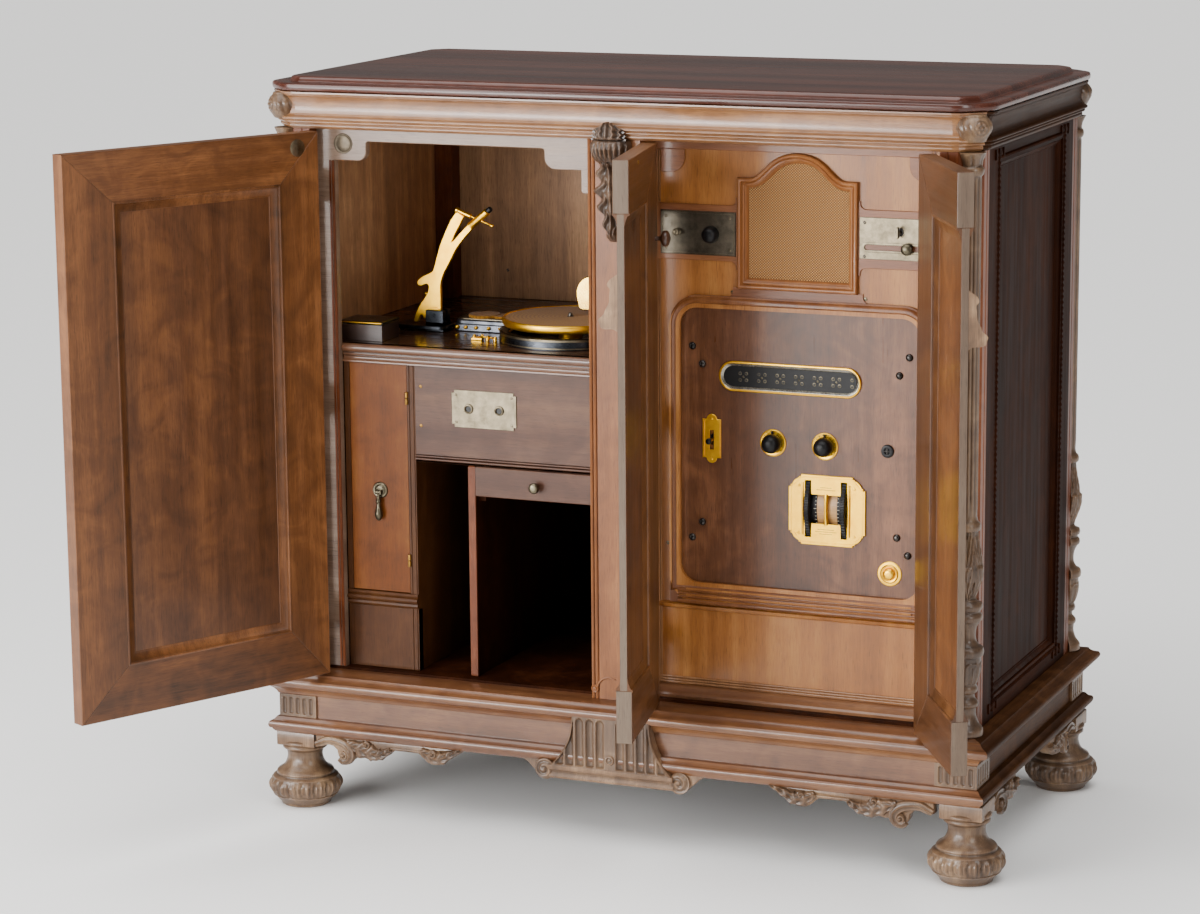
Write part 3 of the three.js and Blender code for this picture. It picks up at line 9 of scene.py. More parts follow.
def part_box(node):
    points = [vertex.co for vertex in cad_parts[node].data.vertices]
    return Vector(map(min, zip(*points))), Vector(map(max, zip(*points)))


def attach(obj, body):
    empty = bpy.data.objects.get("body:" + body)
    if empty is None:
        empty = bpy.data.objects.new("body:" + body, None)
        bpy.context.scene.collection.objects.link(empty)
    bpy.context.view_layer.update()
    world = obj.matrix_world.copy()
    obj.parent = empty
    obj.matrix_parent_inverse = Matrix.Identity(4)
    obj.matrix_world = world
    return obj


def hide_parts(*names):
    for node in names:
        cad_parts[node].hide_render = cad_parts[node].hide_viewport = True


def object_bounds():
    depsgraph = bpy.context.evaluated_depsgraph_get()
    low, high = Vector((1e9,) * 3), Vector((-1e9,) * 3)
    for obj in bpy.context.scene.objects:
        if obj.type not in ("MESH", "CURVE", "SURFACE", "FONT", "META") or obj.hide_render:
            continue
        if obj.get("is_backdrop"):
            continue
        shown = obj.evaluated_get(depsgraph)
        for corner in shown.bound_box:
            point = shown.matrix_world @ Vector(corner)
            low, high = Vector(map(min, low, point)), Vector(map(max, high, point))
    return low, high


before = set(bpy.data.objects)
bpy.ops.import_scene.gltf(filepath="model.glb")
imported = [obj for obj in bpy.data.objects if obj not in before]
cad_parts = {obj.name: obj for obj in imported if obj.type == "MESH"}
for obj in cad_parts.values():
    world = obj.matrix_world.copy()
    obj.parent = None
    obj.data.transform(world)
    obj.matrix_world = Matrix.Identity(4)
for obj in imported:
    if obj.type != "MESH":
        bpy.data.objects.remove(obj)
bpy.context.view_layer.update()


# ------------------------------------------------------------------ Camera, floor and lights
# A pale studio floor, soft boxes left, right and above, and a camera on the photograph's line
# of sight: 4.9 m from the cabinet, to its right and a little above its top.
low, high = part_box("top_board")
centre = np.array([(low.x + high.x) / 2, (low.y + high.y) / 2, 0.0])


def linear(code):
    """An sRGB hex colour as linear RGBA: c / 12.92 up to 0.04045, ((c + 0.055) / 1.055) ** 2.4 above."""
    c = np.array([int(code[i:i + 2], 16) for i in (1, 3, 5)]) / 255
    return (*np.where(c <= 0.04045, c / 12.92, ((c + 0.055) / 1.055) ** 2.4), 1.0)


def add(tree, kind, inputs=None, **settings):
    """Adds a node, sets its settings, then sets or links its inputs, given by name or number."""
    made = tree.nodes.new("ShaderNode" + kind)
    for key, value in settings.items():
        setattr(made, key, value)
    for key, value in (inputs or {}).items():
        if isinstance(value, bpy.types.NodeSocket):
            tree.links.new(value, made.inputs[key])
        else:
            made.inputs[key].default_value = value
    return made


def tone_ramp(tree, amount, stops):
    """The colour of amount on a ramp of (position, sRGB hex) stops, from low to high."""
    made = add(tree, "ValToRGB", {"Fac": amount})
    elements = made.color_ramp.elements
    elements[0].position, elements[1].position = stops[0][0], stops[-1][0]
    for position, _ in stops[1:-1]:
        elements.new(position)
    for element, (_, tone) in zip(elements, stops):
        element.color = linear(tone)
    return made.outputs["Color"]


def new_finish(name, constants):
    """A material with one Principled shader, whose constant sockets are set; returns both and the tree."""
    made = bpy.data.materials.new(name)
    made.use_nodes = True
    tree = made.node_tree
    shader = tree.nodes["Principled BSDF"]
    for key, value in constants.items():
        shader.inputs[key].default_value = value
    return made, tree, shader


floor_half, floor_drop = 30.0, 0.0006      # metres; the floor lies just under the feet
floor_corners = ((-1, -1), (1, -1), (1, 1), (-1, 1))
floor_mesh = bpy.data.meshes.new("studio_floor")
floor_mesh.from_pydata([(x * floor_half, y * floor_half, -floor_drop) for x, y in floor_corners], [],
                       [(0, 1, 2, 3)])
floor_mesh.materials.append(new_finish("matt_white_floor_paint", {
    "Base Color": linear("#f6f5f3"), "Roughness": 0.6, "Specular IOR Level": 0.2})[0])
studio_floor = bpy.data.objects.new("studio_floor", floor_mesh)
bpy.context.scene.collection.objects.link(studio_floor)
studio_floor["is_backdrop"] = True

world = bpy.data.worlds.new("studio")
bpy.context.scene.world = world
world.use_nodes = True
sky = world.node_tree.nodes["Background"]
sky.inputs["Color"].default_value = (1.0, 0.99, 0.975, 1.0)
sky.inputs["Strength"].default_value = 0.16


def soft_box(name, place, target, size, watts):
    """A rectangular area light at place, in metres from the cabinet's foot, aimed at target."""
    light = bpy.data.lights.new(name, "AREA")
    light.shape = "RECTANGLE"
    light.size, light.size_y = size
    light.energy = watts
    lamp = bpy.data.objects.new(name, light)
    bpy.context.scene.collection.objects.link(lamp)
    back = np.subtract(place, target).astype(float)
    back /= np.linalg.norm(back)
    right = np.cross((0, 0, 1.0), back)
    right /= np.linalg.norm(right)
    turn = np.stack([right, np.cross(back, right), back], 1)
    lamp.matrix_world = Matrix.Translation(centre + np.array(place, float)) @ Matrix(turn.tolist()).to_4x4()


overhead = bpy.data.lights.new("overhead", "SUN")
overhead.energy = 4.2
overhead.angle = np.radians(70)
overhead_lamp = bpy.data.objects.new("overhead", overhead)
overhead_lamp.rotation_euler = (np.radians(14), np.radians(-6), 0)
bpy.context.scene.collection.objects.link(overhead_lamp)
soft_box("box_left", (-3.2, -3.6, 1.9), (0, -0.2, 0.6), (2.4, 2.0), 150)
soft_box("box_front", (-1.2, -4.8, 1.5), (-0.2, 0, 0.9), (2.4, 1.4), 110)
soft_box("box_front_low", (-2.4, -4.6, 0.8), (0, -0.3, 0.95), (2.4, 1.0), 165)
soft_box("box_right", (3.4, -2.6, 2.2), (0.2, 0, 0.6), (1.4, 1.6), 55)

camera_place = centre + np.array([2.0094, -5.1121, 1.6571])
yaw, pitch, roll = 0.39884, 0.19774, -0.00834      # radians, solved from the photograph
sight_back = np.array([np.sin(yaw) * np.cos(pitch), -np.cos(yaw) * np.cos(pitch), np.sin(pitch)])
level = np.cross(-sight_back, (0, 0, 1.0))
level /= np.linalg.norm(level)
upright = np.cross(level, -sight_back)
camera_right = np.cos(roll) * level + np.sin(roll) * upright
camera_up = -np.sin(roll) * level + np.cos(roll) * upright
camera_turn = np.stack([camera_right, camera_up, sight_back], 1)
lens = bpy.data.cameras.new("camera")
lens.sensor_width = 36.0
lens.sensor_fit = "HORIZONTAL"
focal_pixels, photo_columns = 3518.23, 1200
lens.lens = focal_pixels * 36.0 / photo_columns
camera = bpy.data.objects.new("camera", lens)
bpy.context.scene.collection.objects.link(camera)
camera.matrix_world = Matrix.Translation(camera_place) @ Matrix(camera_turn.tolist()).to_4x4()
bpy.context.scene.camera = camera


# ------------------------------------------------------------------ Top board
# One wide walnut board with clipped corners: a rounded lip, and a raised middle with an ovolo
# edge. It is planed, stained red and polished, and its grain runs from side to side.
half_width, half_depth, clip = 565.0, 284.0, 30.0


def wood(name, tones, grain=(0, 0, 1), rough=(0.3, 0.46), coat=0.15, figure=0.25, streak=1.0, shift=0.0,
         crease_shade=0.0, gloss=0.34):
    """Sawn and lacquered walnut. Three tones follow bands of growth 80 mm wide, streaks of 14 mm and fibres
    of 1.6 mm, all drawn out along grain; figure is the share of cross-grain curl, 60 mm wide; crease_shade
    darkens the carved recesses by their Pointiness, as painted shade, and lightens the ridges as a painted
    highlight. Fibres are nearer 0.3 mm in life and drawn coarser to show."""
    made, tree, shader = new_finish(name, {"Coat Weight": coat, "Coat Roughness": 0.16, "IOR": 1.48,
                                           "Specular IOR Level": gloss})
    axis = np.array(grain, float) / np.linalg.norm(grain)
    side = np.cross(axis, (0, 0, 1.0) if abs(axis[2]) < 0.9 else (0, 1.0, 0))
    side /= np.linalg.norm(side)
    place = add(tree, "TexCoord").outputs["Object"]
    moved = add(tree, "VectorMath", {0: place, 1: (shift, shift * 1.7, shift * 0.6)}).outputs[0]
    run = [add(tree, "VectorMath", {0: moved, 1: tuple(v)}, operation="DOT_PRODUCT").outputs["Value"]
           for v in (side, np.cross(axis, side), axis * 0.055)]
    grainwise = add(tree, "CombineXYZ", dict(enumerate(run))).outputs[0]
    bands = add(tree, "TexNoise", {"Vector": grainwise, "Scale": 12.5, "Detail": 2.0, "Distortion": 0.5})
    streaks = add(tree, "TexNoise", {"Vector": grainwise, "Scale": 72.0, "Detail": 4.0, "Roughness": 0.62})
    fibres = add(tree, "TexNoise", {"Vector": grainwise, "Scale": 620.0, "Detail": 2.0})
    curl = add(tree, "TexNoise", {"Vector": moved, "Scale": 16.0, "Detail": 3.0, "Distortion": 1.4})
    total = None
    for texture, share in ((bands, 0.46), (streaks, 0.3 * streak), (fibres, 0.16 * streak), (curl, figure)):
        total = add(tree, "Math", {0: texture.outputs["Fac"], 1: share, 2: total if total is not None
                                   else -0.5 * (0.46 + 0.46 * streak + figure) + 0.5},
                    operation="MULTIPLY_ADD").outputs[0]
    toned = tone_ramp(tree, total, list(zip((0.3, 0.5, 0.7), tones)))
    pores = add(tree, "TexNoise", {"Vector": grainwise, "Scale": 1100.0, "Detail": 1.0})
    pitted = add(tree, "MapRange", {"Value": pores.outputs["Fac"], "From Min": 0.6, "From Max": 0.72,
                                    "To Min": 1.0, "To Max": 0.62}).outputs[0]
    shaded = pitted
    # Painted shade in concave creases and painted highlight on convex ridges, by Pointiness.
    if crease_shade:
        crease = add(tree, "NewGeometry").outputs["Pointiness"]
        worn = add(tree, "MapRange", {"Value": crease, "From Min": 0.44, "From Max": 0.56,
                                      "To Min": 1.0 - crease_shade, "To Max": 1.0 + 0.7 * crease_shade}).outputs[0]
        shaded = add(tree, "Math", {0: pitted, 1: worn}, operation="MULTIPLY").outputs[0]
    colour = add(tree, "VectorMath", {0: toned, "Scale": shaded}, operation="SCALE").outputs[0]
    tree.links.new(colour, shader.inputs["Base Color"])
    sheen = add(tree, "MapRange", {"Value": streaks.outputs["Fac"], "From Min": 0.3, "From Max": 0.7,
                                   "To Min": rough[0], "To Max": rough[1]}).outputs[0]
    tree.links.new(sheen, shader.inputs["Roughness"])
    relief = add(tree, "Math", {0: fibres.outputs["Fac"], 1: pitted}, operation="MULTIPLY").outputs[0]
    bump = add(tree, "Bump", {"Strength": 0.22, "Distance": 0.0004, "Height": relief})
    tree.links.new(bump.outputs[0], shader.inputs["Normal"])
    return made


def lay(order, a, b, c):
    """Stacks three arrays as x, y, z, in the order that the letters of order name them."""
    named = dict(zip(order, np.broadcast_arrays(a, b, c)))
    return np.stack([named["x"], named["y"], named["z"]], -1).astype(float)


def loft(rows, ends="flat"):
    """Skins loops of equal count: row i joins row i + 1 by four-sided faces. The two end loops are closed by
    flat faces, or with ends="ring" the last row joins the first."""
    n, m = rows.shape[:2]
    i = np.arange(n if ends == "ring" else n - 1)[:, None]
    j = np.arange(m)[None, :]
    i2, j2 = (i + 1) % n, (j + 1) % m
    quads = np.stack(np.broadcast_arrays(i * m + j, i * m + j2, i2 * m + j2, i2 * m + j), -1).reshape(-1, 4)
    caps = [] if ends == "ring" else [list(range(m))[::-1], list(range((n - 1) * m, n * m))]
    return rows.reshape(-1, 3), quads, caps


def outward(shell):
    """Turns a shell's faces round when its volume, summed over its triangles, is negative."""
    points, quads, caps = shell
    about = points - points.mean(0)
    fans = [np.array([(c[0], c[k], c[k + 1]) for k in range(1, len(c) - 1)]) for c in caps]
    triangles = np.concatenate([quads[:, [0, 1, 2]], quads[:, [0, 2, 3]]] + fans)
    corner = about[triangles]
    if np.einsum("ij,ij->", corner[:, 0], np.cross(corner[:, 1], corner[:, 2])) < 0:
        return points, quads[:, ::-1], [c[::-1] for c in caps]
    return shell


def piece(name, shells, finish, body="cabinet", stands_for=(), crease=32, move=None):
    """Puts closed shells, in millimetres, into one object with one finish, riding on a body. Edges sharper
    than crease degrees stay crisp."""
    points, faces, start = [], [], 0
    for shell in shells:
        if move:
            shell = (move(shell[0]), shell[1], shell[2])
        p, quads, caps = outward(shell)
        points.append(p / 1000 + centre)
        faces += (quads + start).tolist() + [[k + start for k in c] for c in caps]
        start += len(p)
    mesh = bpy.data.meshes.new(name)
    mesh.from_pydata(np.concatenate(points), [], faces)
    mesh.polygons.foreach_set("use_smooth", np.array([len(f) == 4 for f in faces]))
    mesh.set_sharp_from_angle(angle=np.radians(crease))
    mesh.materials.append(finish)
    made = bpy.data.objects.new(name, mesh)
    bpy.context.scene.collection.objects.link(made)
    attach(made, body)
    if stands_for:
        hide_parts(*([stands_for] if isinstance(stands_for, str) else stands_for))
    return made


def smooth(points, per=4):
    """A Catmull-Rom curve through the points, with per steps between each two."""
    p = np.asarray(points, float)
    q = np.concatenate([[2 * p[0] - p[1]], p, [2 * p[-1] - p[-2]]])
    t = (np.arange(per) / per)[None, :, None]
    a, b, c, d = (q[k:len(p) - 1 + k][:, None] for k in range(4))
    curve = 0.5 * (2 * b + (c - a) * t + (2 * a - 5 * b + 4 * c - d) * t ** 2
                   + (3 * b - a - 3 * c + d) * t ** 3)
    return np.concatenate([curve.reshape(-1, p.shape[1]), p[-1:]])


def band(outline, profile, order, ends="flat"):
    """Carries a profile of (outwards, height) round a closed outline, mitred at each corner: every corner
    moves along the sum of its two sides' normals, over one plus their product."""
    p = np.asarray(outline, float)
    edge = np.roll(p, -1, 0) - p
    normal = np.stack([edge[:, 1], -edge[:, 0]], 1) / np.hypot(*edge.T)[:, None]
    before = np.roll(normal, 1, 0)
    mitre = (normal + before) / (1 + (normal * before).sum(1))[:, None]
    out, rise = np.asarray(profile, float).T
    spread = p[None] + out[:, None, None] * mitre[None]
    return loft(lay(order, spread[..., 0], spread[..., 1], rise[:, None]), ends)


def slab(outline, order, low_face, high_face, edge=0.8):
    """A plate of any outline, with its edges bevelled by edge."""
    return band(outline, [(-edge, low_face), (0, low_face + edge), (0, high_face - edge), (-edge, high_face)],
                order)


def rectangle(a, b):
    """Corners of a rectangle, anticlockwise."""
    return np.array([(a[0], b[0]), (a[1], b[0]), (a[1], b[1]), (a[0], b[1])], float)


def board(x, y, z, edge=0.8):
    """A plain board between limits along x, y and z, with its edges eased."""
    return slab(rectangle(sorted(x), sorted(y)), "xyz", *sorted(z), edge)


def clipped_plan(radius=18.0):
    """The body's plan: a rectangle with 45 degree corners, each bend eased by an arc of three points."""
    x, y = half_width, half_depth
    corner = np.array([(x, clip - y), (x, y - clip), (x - clip, y), (clip - x, y), (-x, y - clip),
                       (-x, clip - y), (clip - x, -y), (x - clip, -y)])
    ahead = np.roll(corner, -1, 0) - corner
    back = np.roll(corner, 1, 0) - corner
    ahead /= np.hypot(*ahead.T)[:, None]
    back /= np.hypot(*back.T)[:, None]
    cut = radius * 0.414
    return np.stack([corner + cut * back, corner + 0.25 * cut * (ahead + back), corner + cut * ahead],
                    1).reshape(-1, 2)


plan = clipped_plan()
top_profile = [(14, 1149.3), (17.4, 1149.9), (19.3, 1151.6), (20, 1154.2), (20, 1157), (19.2, 1159.8),
               (17.2, 1161.5), (14, 1162), (-5.2, 1162), (-6.4, 1161.4), (-7.6, 1162.2), (-8.2, 1164.2),
               (-9.4, 1166.6), (-11.4, 1168.7), (-14, 1169.7), (-17, 1170)]
red_walnut = wood("polished_red_walnut", ("#26100a", "#421f14", "#643628"), grain=(1, 0, 0), rough=(0.2, 0.3),
                  coat=0.3, figure=0.12, streak=0.8, gloss=0.35)
piece("top_with_raised_field", [band(plan, top_profile, "xyz")], red_walnut,
      stands_for="top_board")


# ------------------------------------------------------------------ Cornice
# Run mouldings mitred round the case: three beads and a tall hollow frieze under the top's lip.
# Solid walnut in a satin lacquer, whose front is toned pale as a painted highlight and whose sides are toned
# darker as painted shade.
cornice_profile = np.concatenate([[(-28, 1091.5), (3.2, 1091.5), (4.6, 1092.2)],
                                  smooth([(5, 1093), (7.6, 1094.2), (8.4, 1096.6), (7.6, 1099)], 3),
                                  smooth([(8, 1100), (11.4, 1100.8), (12.4, 1102.6), (11.4, 1104.6)], 3),
                                  smooth([(12, 1105.2), (15.4, 1106), (16.4, 1108), (15.2, 1110)], 3),
                                  smooth([(11.6, 1110.6), (8.4, 1113), (7, 1117.6), (6.6, 1124), (7.4, 1133),
                                          (9.6, 1139.6), (12.6, 1142.4)], 3),
                                  [(13, 1144.2), (16, 1144.6), (17, 1146), (17, 1148.4), (-28, 1149)]])
# Toned pale as a painted highlight of the lamps on the cornice's front.
front_walnut_painted_highlight = wood("walnut_front_painted_highlight", ("#4f301b", "#7f5635", "#a97c4e"), grain=(1, 0, 0), coat=0.65)
walnut_across = wood("satin_walnut_across", ("#3b2214", "#5f3b23", "#805736"), grain=(1, 0, 0), coat=0.65)
# Toned dark and dull as painted shade on the side mouldings of cornice and plinth.
side_walnut_painted_shade = wood("moulding_walnut_painted_shade", ("#1d0f07", "#382112", "#5b3b23"), grain=(0, 1, 0), coat=0.0,
                     gloss=0.04)


def front_and_sides(outline, profile):
    """Cuts a mitred moulding into closed lengths, one a side: those that face forwards, and the rest."""
    rows, _, _ = band(outline, profile, "xyz", "ring")
    rows = rows.reshape(len(profile), len(outline), 3)
    front, others = [], []
    for k in range(len(outline)):
        ahead = np.subtract(outline[(k + 1) % len(outline)], outline[k])
        forwards = ahead[0] > abs(ahead[1])
        (front if forwards else others).append(loft(rows[:, [k, (k + 1) % len(outline)]].swapaxes(0, 1)))
    return front, others


cornice_front, cornice_sides = front_and_sides(plan, cornice_profile)
piece("cornice_front_moulding", cornice_front, front_walnut_painted_highlight, stands_for="cornice")
piece("cornice_side_mouldings", cornice_sides, side_walnut_painted_shade)
piece("cornice_sub_top", [board((-536, 536), (-255, 255), (1137, 1148.8))], walnut_across)


def turn(profile, place, order="xyz", around=48, relief=None, shave=None, ends="flat"):
    """A turning: a profile of (radius, length) taken round an axis through place, in the order's first two
    directions. relief(angle, length, radius) is added to the radius; shave moves the finished points; with
    ends="ring" the profile is closed and leaves a hole."""
    radius, length = np.asarray(profile, float).T[:, :, None]
    angle = np.linspace(0, 2 * np.pi, around, endpoint=False)[None, :]
    if relief:
        radius = radius + relief(angle, length, radius)
    rows = lay(order, place[0] + radius * np.cos(angle), place[1] + radius * np.sin(angle), length)
    if shave:
        rows = shave(rows)
    return loft(rows, ends)


def hump(value, middle, half):
    """A smooth bump of height 1, one plus cosine over two, that is 0 beyond half from its middle."""
    t = np.clip(np.abs(value - middle) / half, 0, 1)
    return 0.5 + 0.5 * np.cos(np.pi * t)


# Four turned and carved capitals stand at the clipped corners: a rosette between curling leaves.
corner_signs = [(-1, -1), (1, -1), (-1, 1), (1, 1)]
carved_walnut = wood("carved_walnut", ("#34251a", "#5d4633", "#907457"), rough=(0.34, 0.5), coat=0.3,
                     figure=0.35, crease_shade=0.55)
capital_profile = smooth([(13, 1105.5), (18, 1106), (21, 1110), (24.5, 1117), (26.6, 1124), (26.4, 1131),
                          (23.6, 1138), (20.5, 1142), (19.6, 1145), (17, 1146.4)], 5)


mean_radius, eye_height = 25.0, 1127.0


def capital_relief(facing):
    """A rosette at the facing angle, with a domed eye, petals, two leaf curls beside it and a fluted neck."""
    def relief(angle, length, radius):
        turned = np.angle(np.exp(1j * (angle - facing)))
        a, b = turned * mean_radius, length - eye_height
        rho, phi = np.hypot(a, b), np.arctan2(b, a)
        eye = 2.2 * hump(rho, 0, 3.4)
        petals = 2.0 * hump(rho, 7.0, 3.6) * (0.65 + 0.35 * np.cos(6 * phi))
        rim = 1.3 * hump(rho, 12.5, 1.6)
        leaves = 1.9 * np.abs(np.cos(7 * turned + 0.09 * b)) * hump(b, 2, 17) * (rho > 13.5)
        return eye + petals + rim + leaves - 1.2
    return relief


capitals = [turn(capital_profile, (sx * 554.2, sy * 273.2), around=112,
                 relief=capital_relief(np.arctan2(sy, sx))) for sx, sy in corner_signs]
piece("corner_capitals", capitals, carved_walnut, crease=60)


# ------------------------------------------------------------------ Corner posts
# Square walnut posts with a clipped outer corner; a scratched groove runs up each face beside
# the column. The front pair carry the fixed halves of the brass butt hinges.
walnut_up = wood("satin_walnut_upright", ("#36190a", "#603017", "#884d2a"), coat=0.05, gloss=0.2)


def metal(name, tone, worn, rough, grit=900.0, relief=0.05, patches=60.0):
    """Plated or cast metal: two tones in patches 1 / patches metres wide, and a fine grit of 1 / grit metres
    that breaks up the gloss."""
    made, tree, shader = new_finish(name, {"Metallic": 1.0, "Coat Weight": 0.1, "Coat Roughness": 0.2})
    place = add(tree, "TexCoord").outputs["Object"]
    cloud = add(tree, "TexNoise", {"Vector": place, "Scale": patches, "Detail": 4.0, "Roughness": 0.65})
    fine = add(tree, "TexNoise", {"Vector": place, "Scale": grit, "Detail": 2.0})
    amount = add(tree, "MapRange", {"Value": cloud.outputs["Fac"], "From Min": 0.35,
                                    "From Max": 0.7}).outputs[0]
    mixed = add(tree, "Mix", {0: amount, 6: linear(tone), 7: linear(worn)}, data_type="RGBA").outputs[2]
    tree.links.new(mixed, shader.inputs["Base Color"])
    gloss = add(tree, "MapRange", {"Value": fine.outputs["Fac"], "From Min": 0.3, "From Max": 0.7,
                                   "To Min": rough[0], "To Max": rough[1]}).outputs[0]
    tree.links.new(gloss, shader.inputs["Roughness"])
    bump = add(tree, "Bump", {"Strength": relief, "Distance": 0.0003, "Height": fine.outputs["Fac"]})
    tree.links.new(bump.outputs[0], shader.inputs["Normal"])
    return made


brass = metal("aged_brass", "#a67c38", "#6e5227", (0.26, 0.42))
post_plan = np.array([(507.7, 227), (565, 227), (565, 236), (563.6, 237), (563.6, 238.6), (565, 239.6),
                      (565, 252.4), (563.6, 253.2), (563.9, 254.4), (536.4, 282.4), (535.2, 282.6),
                      (534.4, 284), (521.6, 284), (520.6, 282.6), (519, 282.6), (518, 284), (507.7, 284)])
posts = []
for sx, sy in corner_signs:
    mirrored = post_plan * (sx, sy)
    posts.append(slab(mirrored if sx * sy > 0 else mirrored[::-1], "xyz", 227.3, 1091.2, 0.4))
piece("corner_posts", posts, walnut_up,
      stands_for=["post_front_left", "post_front_right", "post_back_left", "post_back_right"])

door_bottom, door_top, pin_y = 231.0, 1089.5, -292.0
hinge_inset, knuckle = 90, 26      # how far the end hinges lie from the door's ends; half a hinge's length
hinge_heights = (door_bottom + hinge_inset, (door_bottom + door_top) / 2, door_top - hinge_inset)


def hinge_barrel(x, y, z0, z1, radius):
    """One knuckle of a hinge: a turned barrel with rounded rims."""
    rim = radius * 0.16
    return turn([(radius - 2 * rim, z0), (radius - rim, z0 + 0.2), (radius, z0 + rim + 0.2),
                 (radius, z1 - rim - 0.2), (radius - rim, z1 - 0.2), (radius - 2 * rim, z1)], (x, y),
                around=24)


fixed_hinges = []
for pin_x, towards in ((-507, -1), (507, 1), (44, -1)):
    for z in hinge_heights:
        fixed_hinges += [hinge_barrel(pin_x, pin_y, z - knuckle, z, 5),
                         board((pin_x, pin_x + towards * 14), (-286, -283.4), (z - knuckle, z), 0.3),
                         board((pin_x, pin_x + towards * 3), (pin_y, -285), (z - knuckle, z), 0.3)]
piece("fixed_hinge_leaves", fixed_hinges, brass)


# ------------------------------------------------------------------ Split columns
# A turned baluster split down its middle is glued to each clipped corner: a bell, an arcaded cup,
# a vase wrapped in acanthus, and a long reeded shaft up to a small fluted cap.
column_profile = np.concatenate([
    [(22, 227.3), (26, 228), (26, 236.6), (25.2, 238)],
    smooth([(24, 240), (19.5, 246), (16, 256), (15, 263)], 4)[:-1],
    smooth([(16, 269), (18.6, 273), (18.6, 277), (16.6, 280.6)], 3),
    smooth([(13.4, 284), (12.8, 288), (14, 291.4)], 3),
    smooth([(16.6, 293), (17.6, 297.4), (16.6, 301.6)], 4),
    smooth([(15.4, 304.6), (18.4, 312), (21.4, 324), (22.6, 338), (22.8, 347)], 8),
    smooth([(25, 349), (26, 354), (25, 359.6), (23, 362)], 3),
    smooth([(19, 363.6), (14.6, 371), (13.4, 380), (15, 391), (19.4, 400)], 4),
    smooth([(22, 402), (23.2, 406.6), (22, 411)], 3), smooth([(20, 413), (19.4, 415), (20, 417)], 2),
    smooth([(22, 418.4), (23.2, 423), (22, 427.6)], 3),
    smooth([(15.6, 430.4), (14, 435), (17, 446), (22.4, 462), (23.6, 476), (21.6, 496), (17.4, 514),
            (14.4, 530)], 8),
    smooth([(15.4, 535.6), (18.4, 538), (19.2, 543), (18, 547.6)], 3), smooth([(14.6, 551), (13.2, 558)], 3),
    np.stack([np.full(44, 13.2), np.linspace(562, 1052, 44)], 1),
    smooth([(13.4, 1056), (16.4, 1059.6), (17.2, 1064), (16.4, 1068.4), (14.2, 1071)], 3),
    smooth([(14, 1074), (15, 1080), (18, 1087), (20, 1091)], 4)])


def column_relief(angle, length, radius):
    """Reeds up the shaft, two tiers of acanthus on the vase, arches round the cup, and flutes on the cap."""
    reeds = 1.5 * (np.abs(np.cos(6 * angle)) - 0.6) * np.clip((length - 558) / 10, 0, 1) * (length < 1055)
    climb = np.clip((length - 436) / 94, 0, 1)
    leaf = np.abs(np.sin(3 * angle + np.where(climb > 0.52, np.pi / 2, 0)))
    tier = np.mod(climb / 0.52, 1)
    vein = 0.75 * np.cos(24 * angle + 9 * tier * np.sign(np.sin(6 * angle)))
    acanthus = (3.2 * leaf ** 0.7 * (0.35 + 0.65 * tier) + vein - 1.9) * (length > 434) * (length < 531)
    arch = np.abs(np.sin(3 * angle)) * 14
    rise = length - 310
    frame_line = hump(np.hypot(arch - 7, np.maximum(rise - 22, 0)), 6.6, 1.8)
    bead = 1.6 * hump(np.hypot(arch - 7, rise - 22), 0, 3.6)
    cup = (1.5 * frame_line + bead - 0.9) * (length > 306) * (length < 346)
    flutes = 1.4 * (np.abs(np.cos(3 * angle)) - 0.5) * (length > 1072) * (length < 1089)
    return reeds + acanthus + cup + flutes


glue_line = 0.3


def split_behind(sx, sy):
    """Flattens the back of a column just off the middle of the clipped corner that it is glued to."""
    facing = np.array([sx, sy]) / np.sqrt(2)
    seat = np.array([sx * (half_width - clip / 2), sy * (half_depth - clip / 2)]) @ facing + glue_line

    def shave(rows):
        depth = rows[..., :2] @ facing
        rows[..., :2] += np.maximum(seat - depth, 0)[..., None] * facing
        return rows
    return shave


columns = [turn(column_profile, (sx * 552.8, sy * 271.8), around=72,
                relief=lambda a, l, r, t=np.arctan2(sy, sx): column_relief(a - t, l, r),
                shave=split_behind(sx, sy)) for sx, sy in corner_signs]
piece("split_columns", columns, carved_walnut, crease=50,
      stands_for=["column_front_left", "column_front_right"])


# ------------------------------------------------------------------ Sides
# Frame and panel sides of walnut, toned dark as painted shade: stiles and rails with a sunk panel, a
# carved wavy bead round the opening, and a pair of short bars let into each end of the rails.
# Toned very dark as painted shade on the sides and the inner boards.
side_finish_painted_shade = {"tones": ("#150703", "#281106", "#3d1e0d"), "rough": (0.42, 0.58), "coat": 0.0, "gloss": 0.03}
upright_walnut_painted_shade = wood("walnut_upright_painted_shade", **side_finish_painted_shade)
lengthwise_walnut_painted_shade = wood("walnut_lengthwise_painted_shade", grain=(0, 1, 0), **side_finish_painted_shade)
side_y, side_z = (-170.0, 170.0), (262.0, 1066.0)


def wavy_ring(a, b, order, level, pitch, thick, swing):
    """A round bead carried along a rectangle's four sides, whose thickness swings once every pitch."""
    tall, wide = (int((end[1] - end[0]) / pitch * 4) for end in (b, a))
    corners = [(a[0], b[0], tall), (a[0], b[1], wide), (a[1], b[1], tall), (a[1], b[0], wide)]
    line = np.concatenate([np.linspace(start[:2], end[:2], start[2], endpoint=False)
                           for start, end in zip(corners, corners[1:] + corners[:1])])
    middle = np.array([sum(a) / 2, sum(b) / 2])
    reach = np.abs(line - middle) / np.array([(a[1] - a[0]) / 2, (b[1] - b[0]) / 2])
    inward = -np.sign(line - middle) * (reach > 0.999)
    size = thick + swing * np.cos(np.pi / 2 * np.arange(len(line)))
    angle = np.linspace(0, 2 * np.pi, 8, endpoint=False)
    spot = line[:, None] + inward[:, None] * (size[:, None] * np.cos(angle))[..., None]
    return loft(lay(order, spot[..., 0], spot[..., 1], level + size[:, None] * np.sin(angle)), "ring")


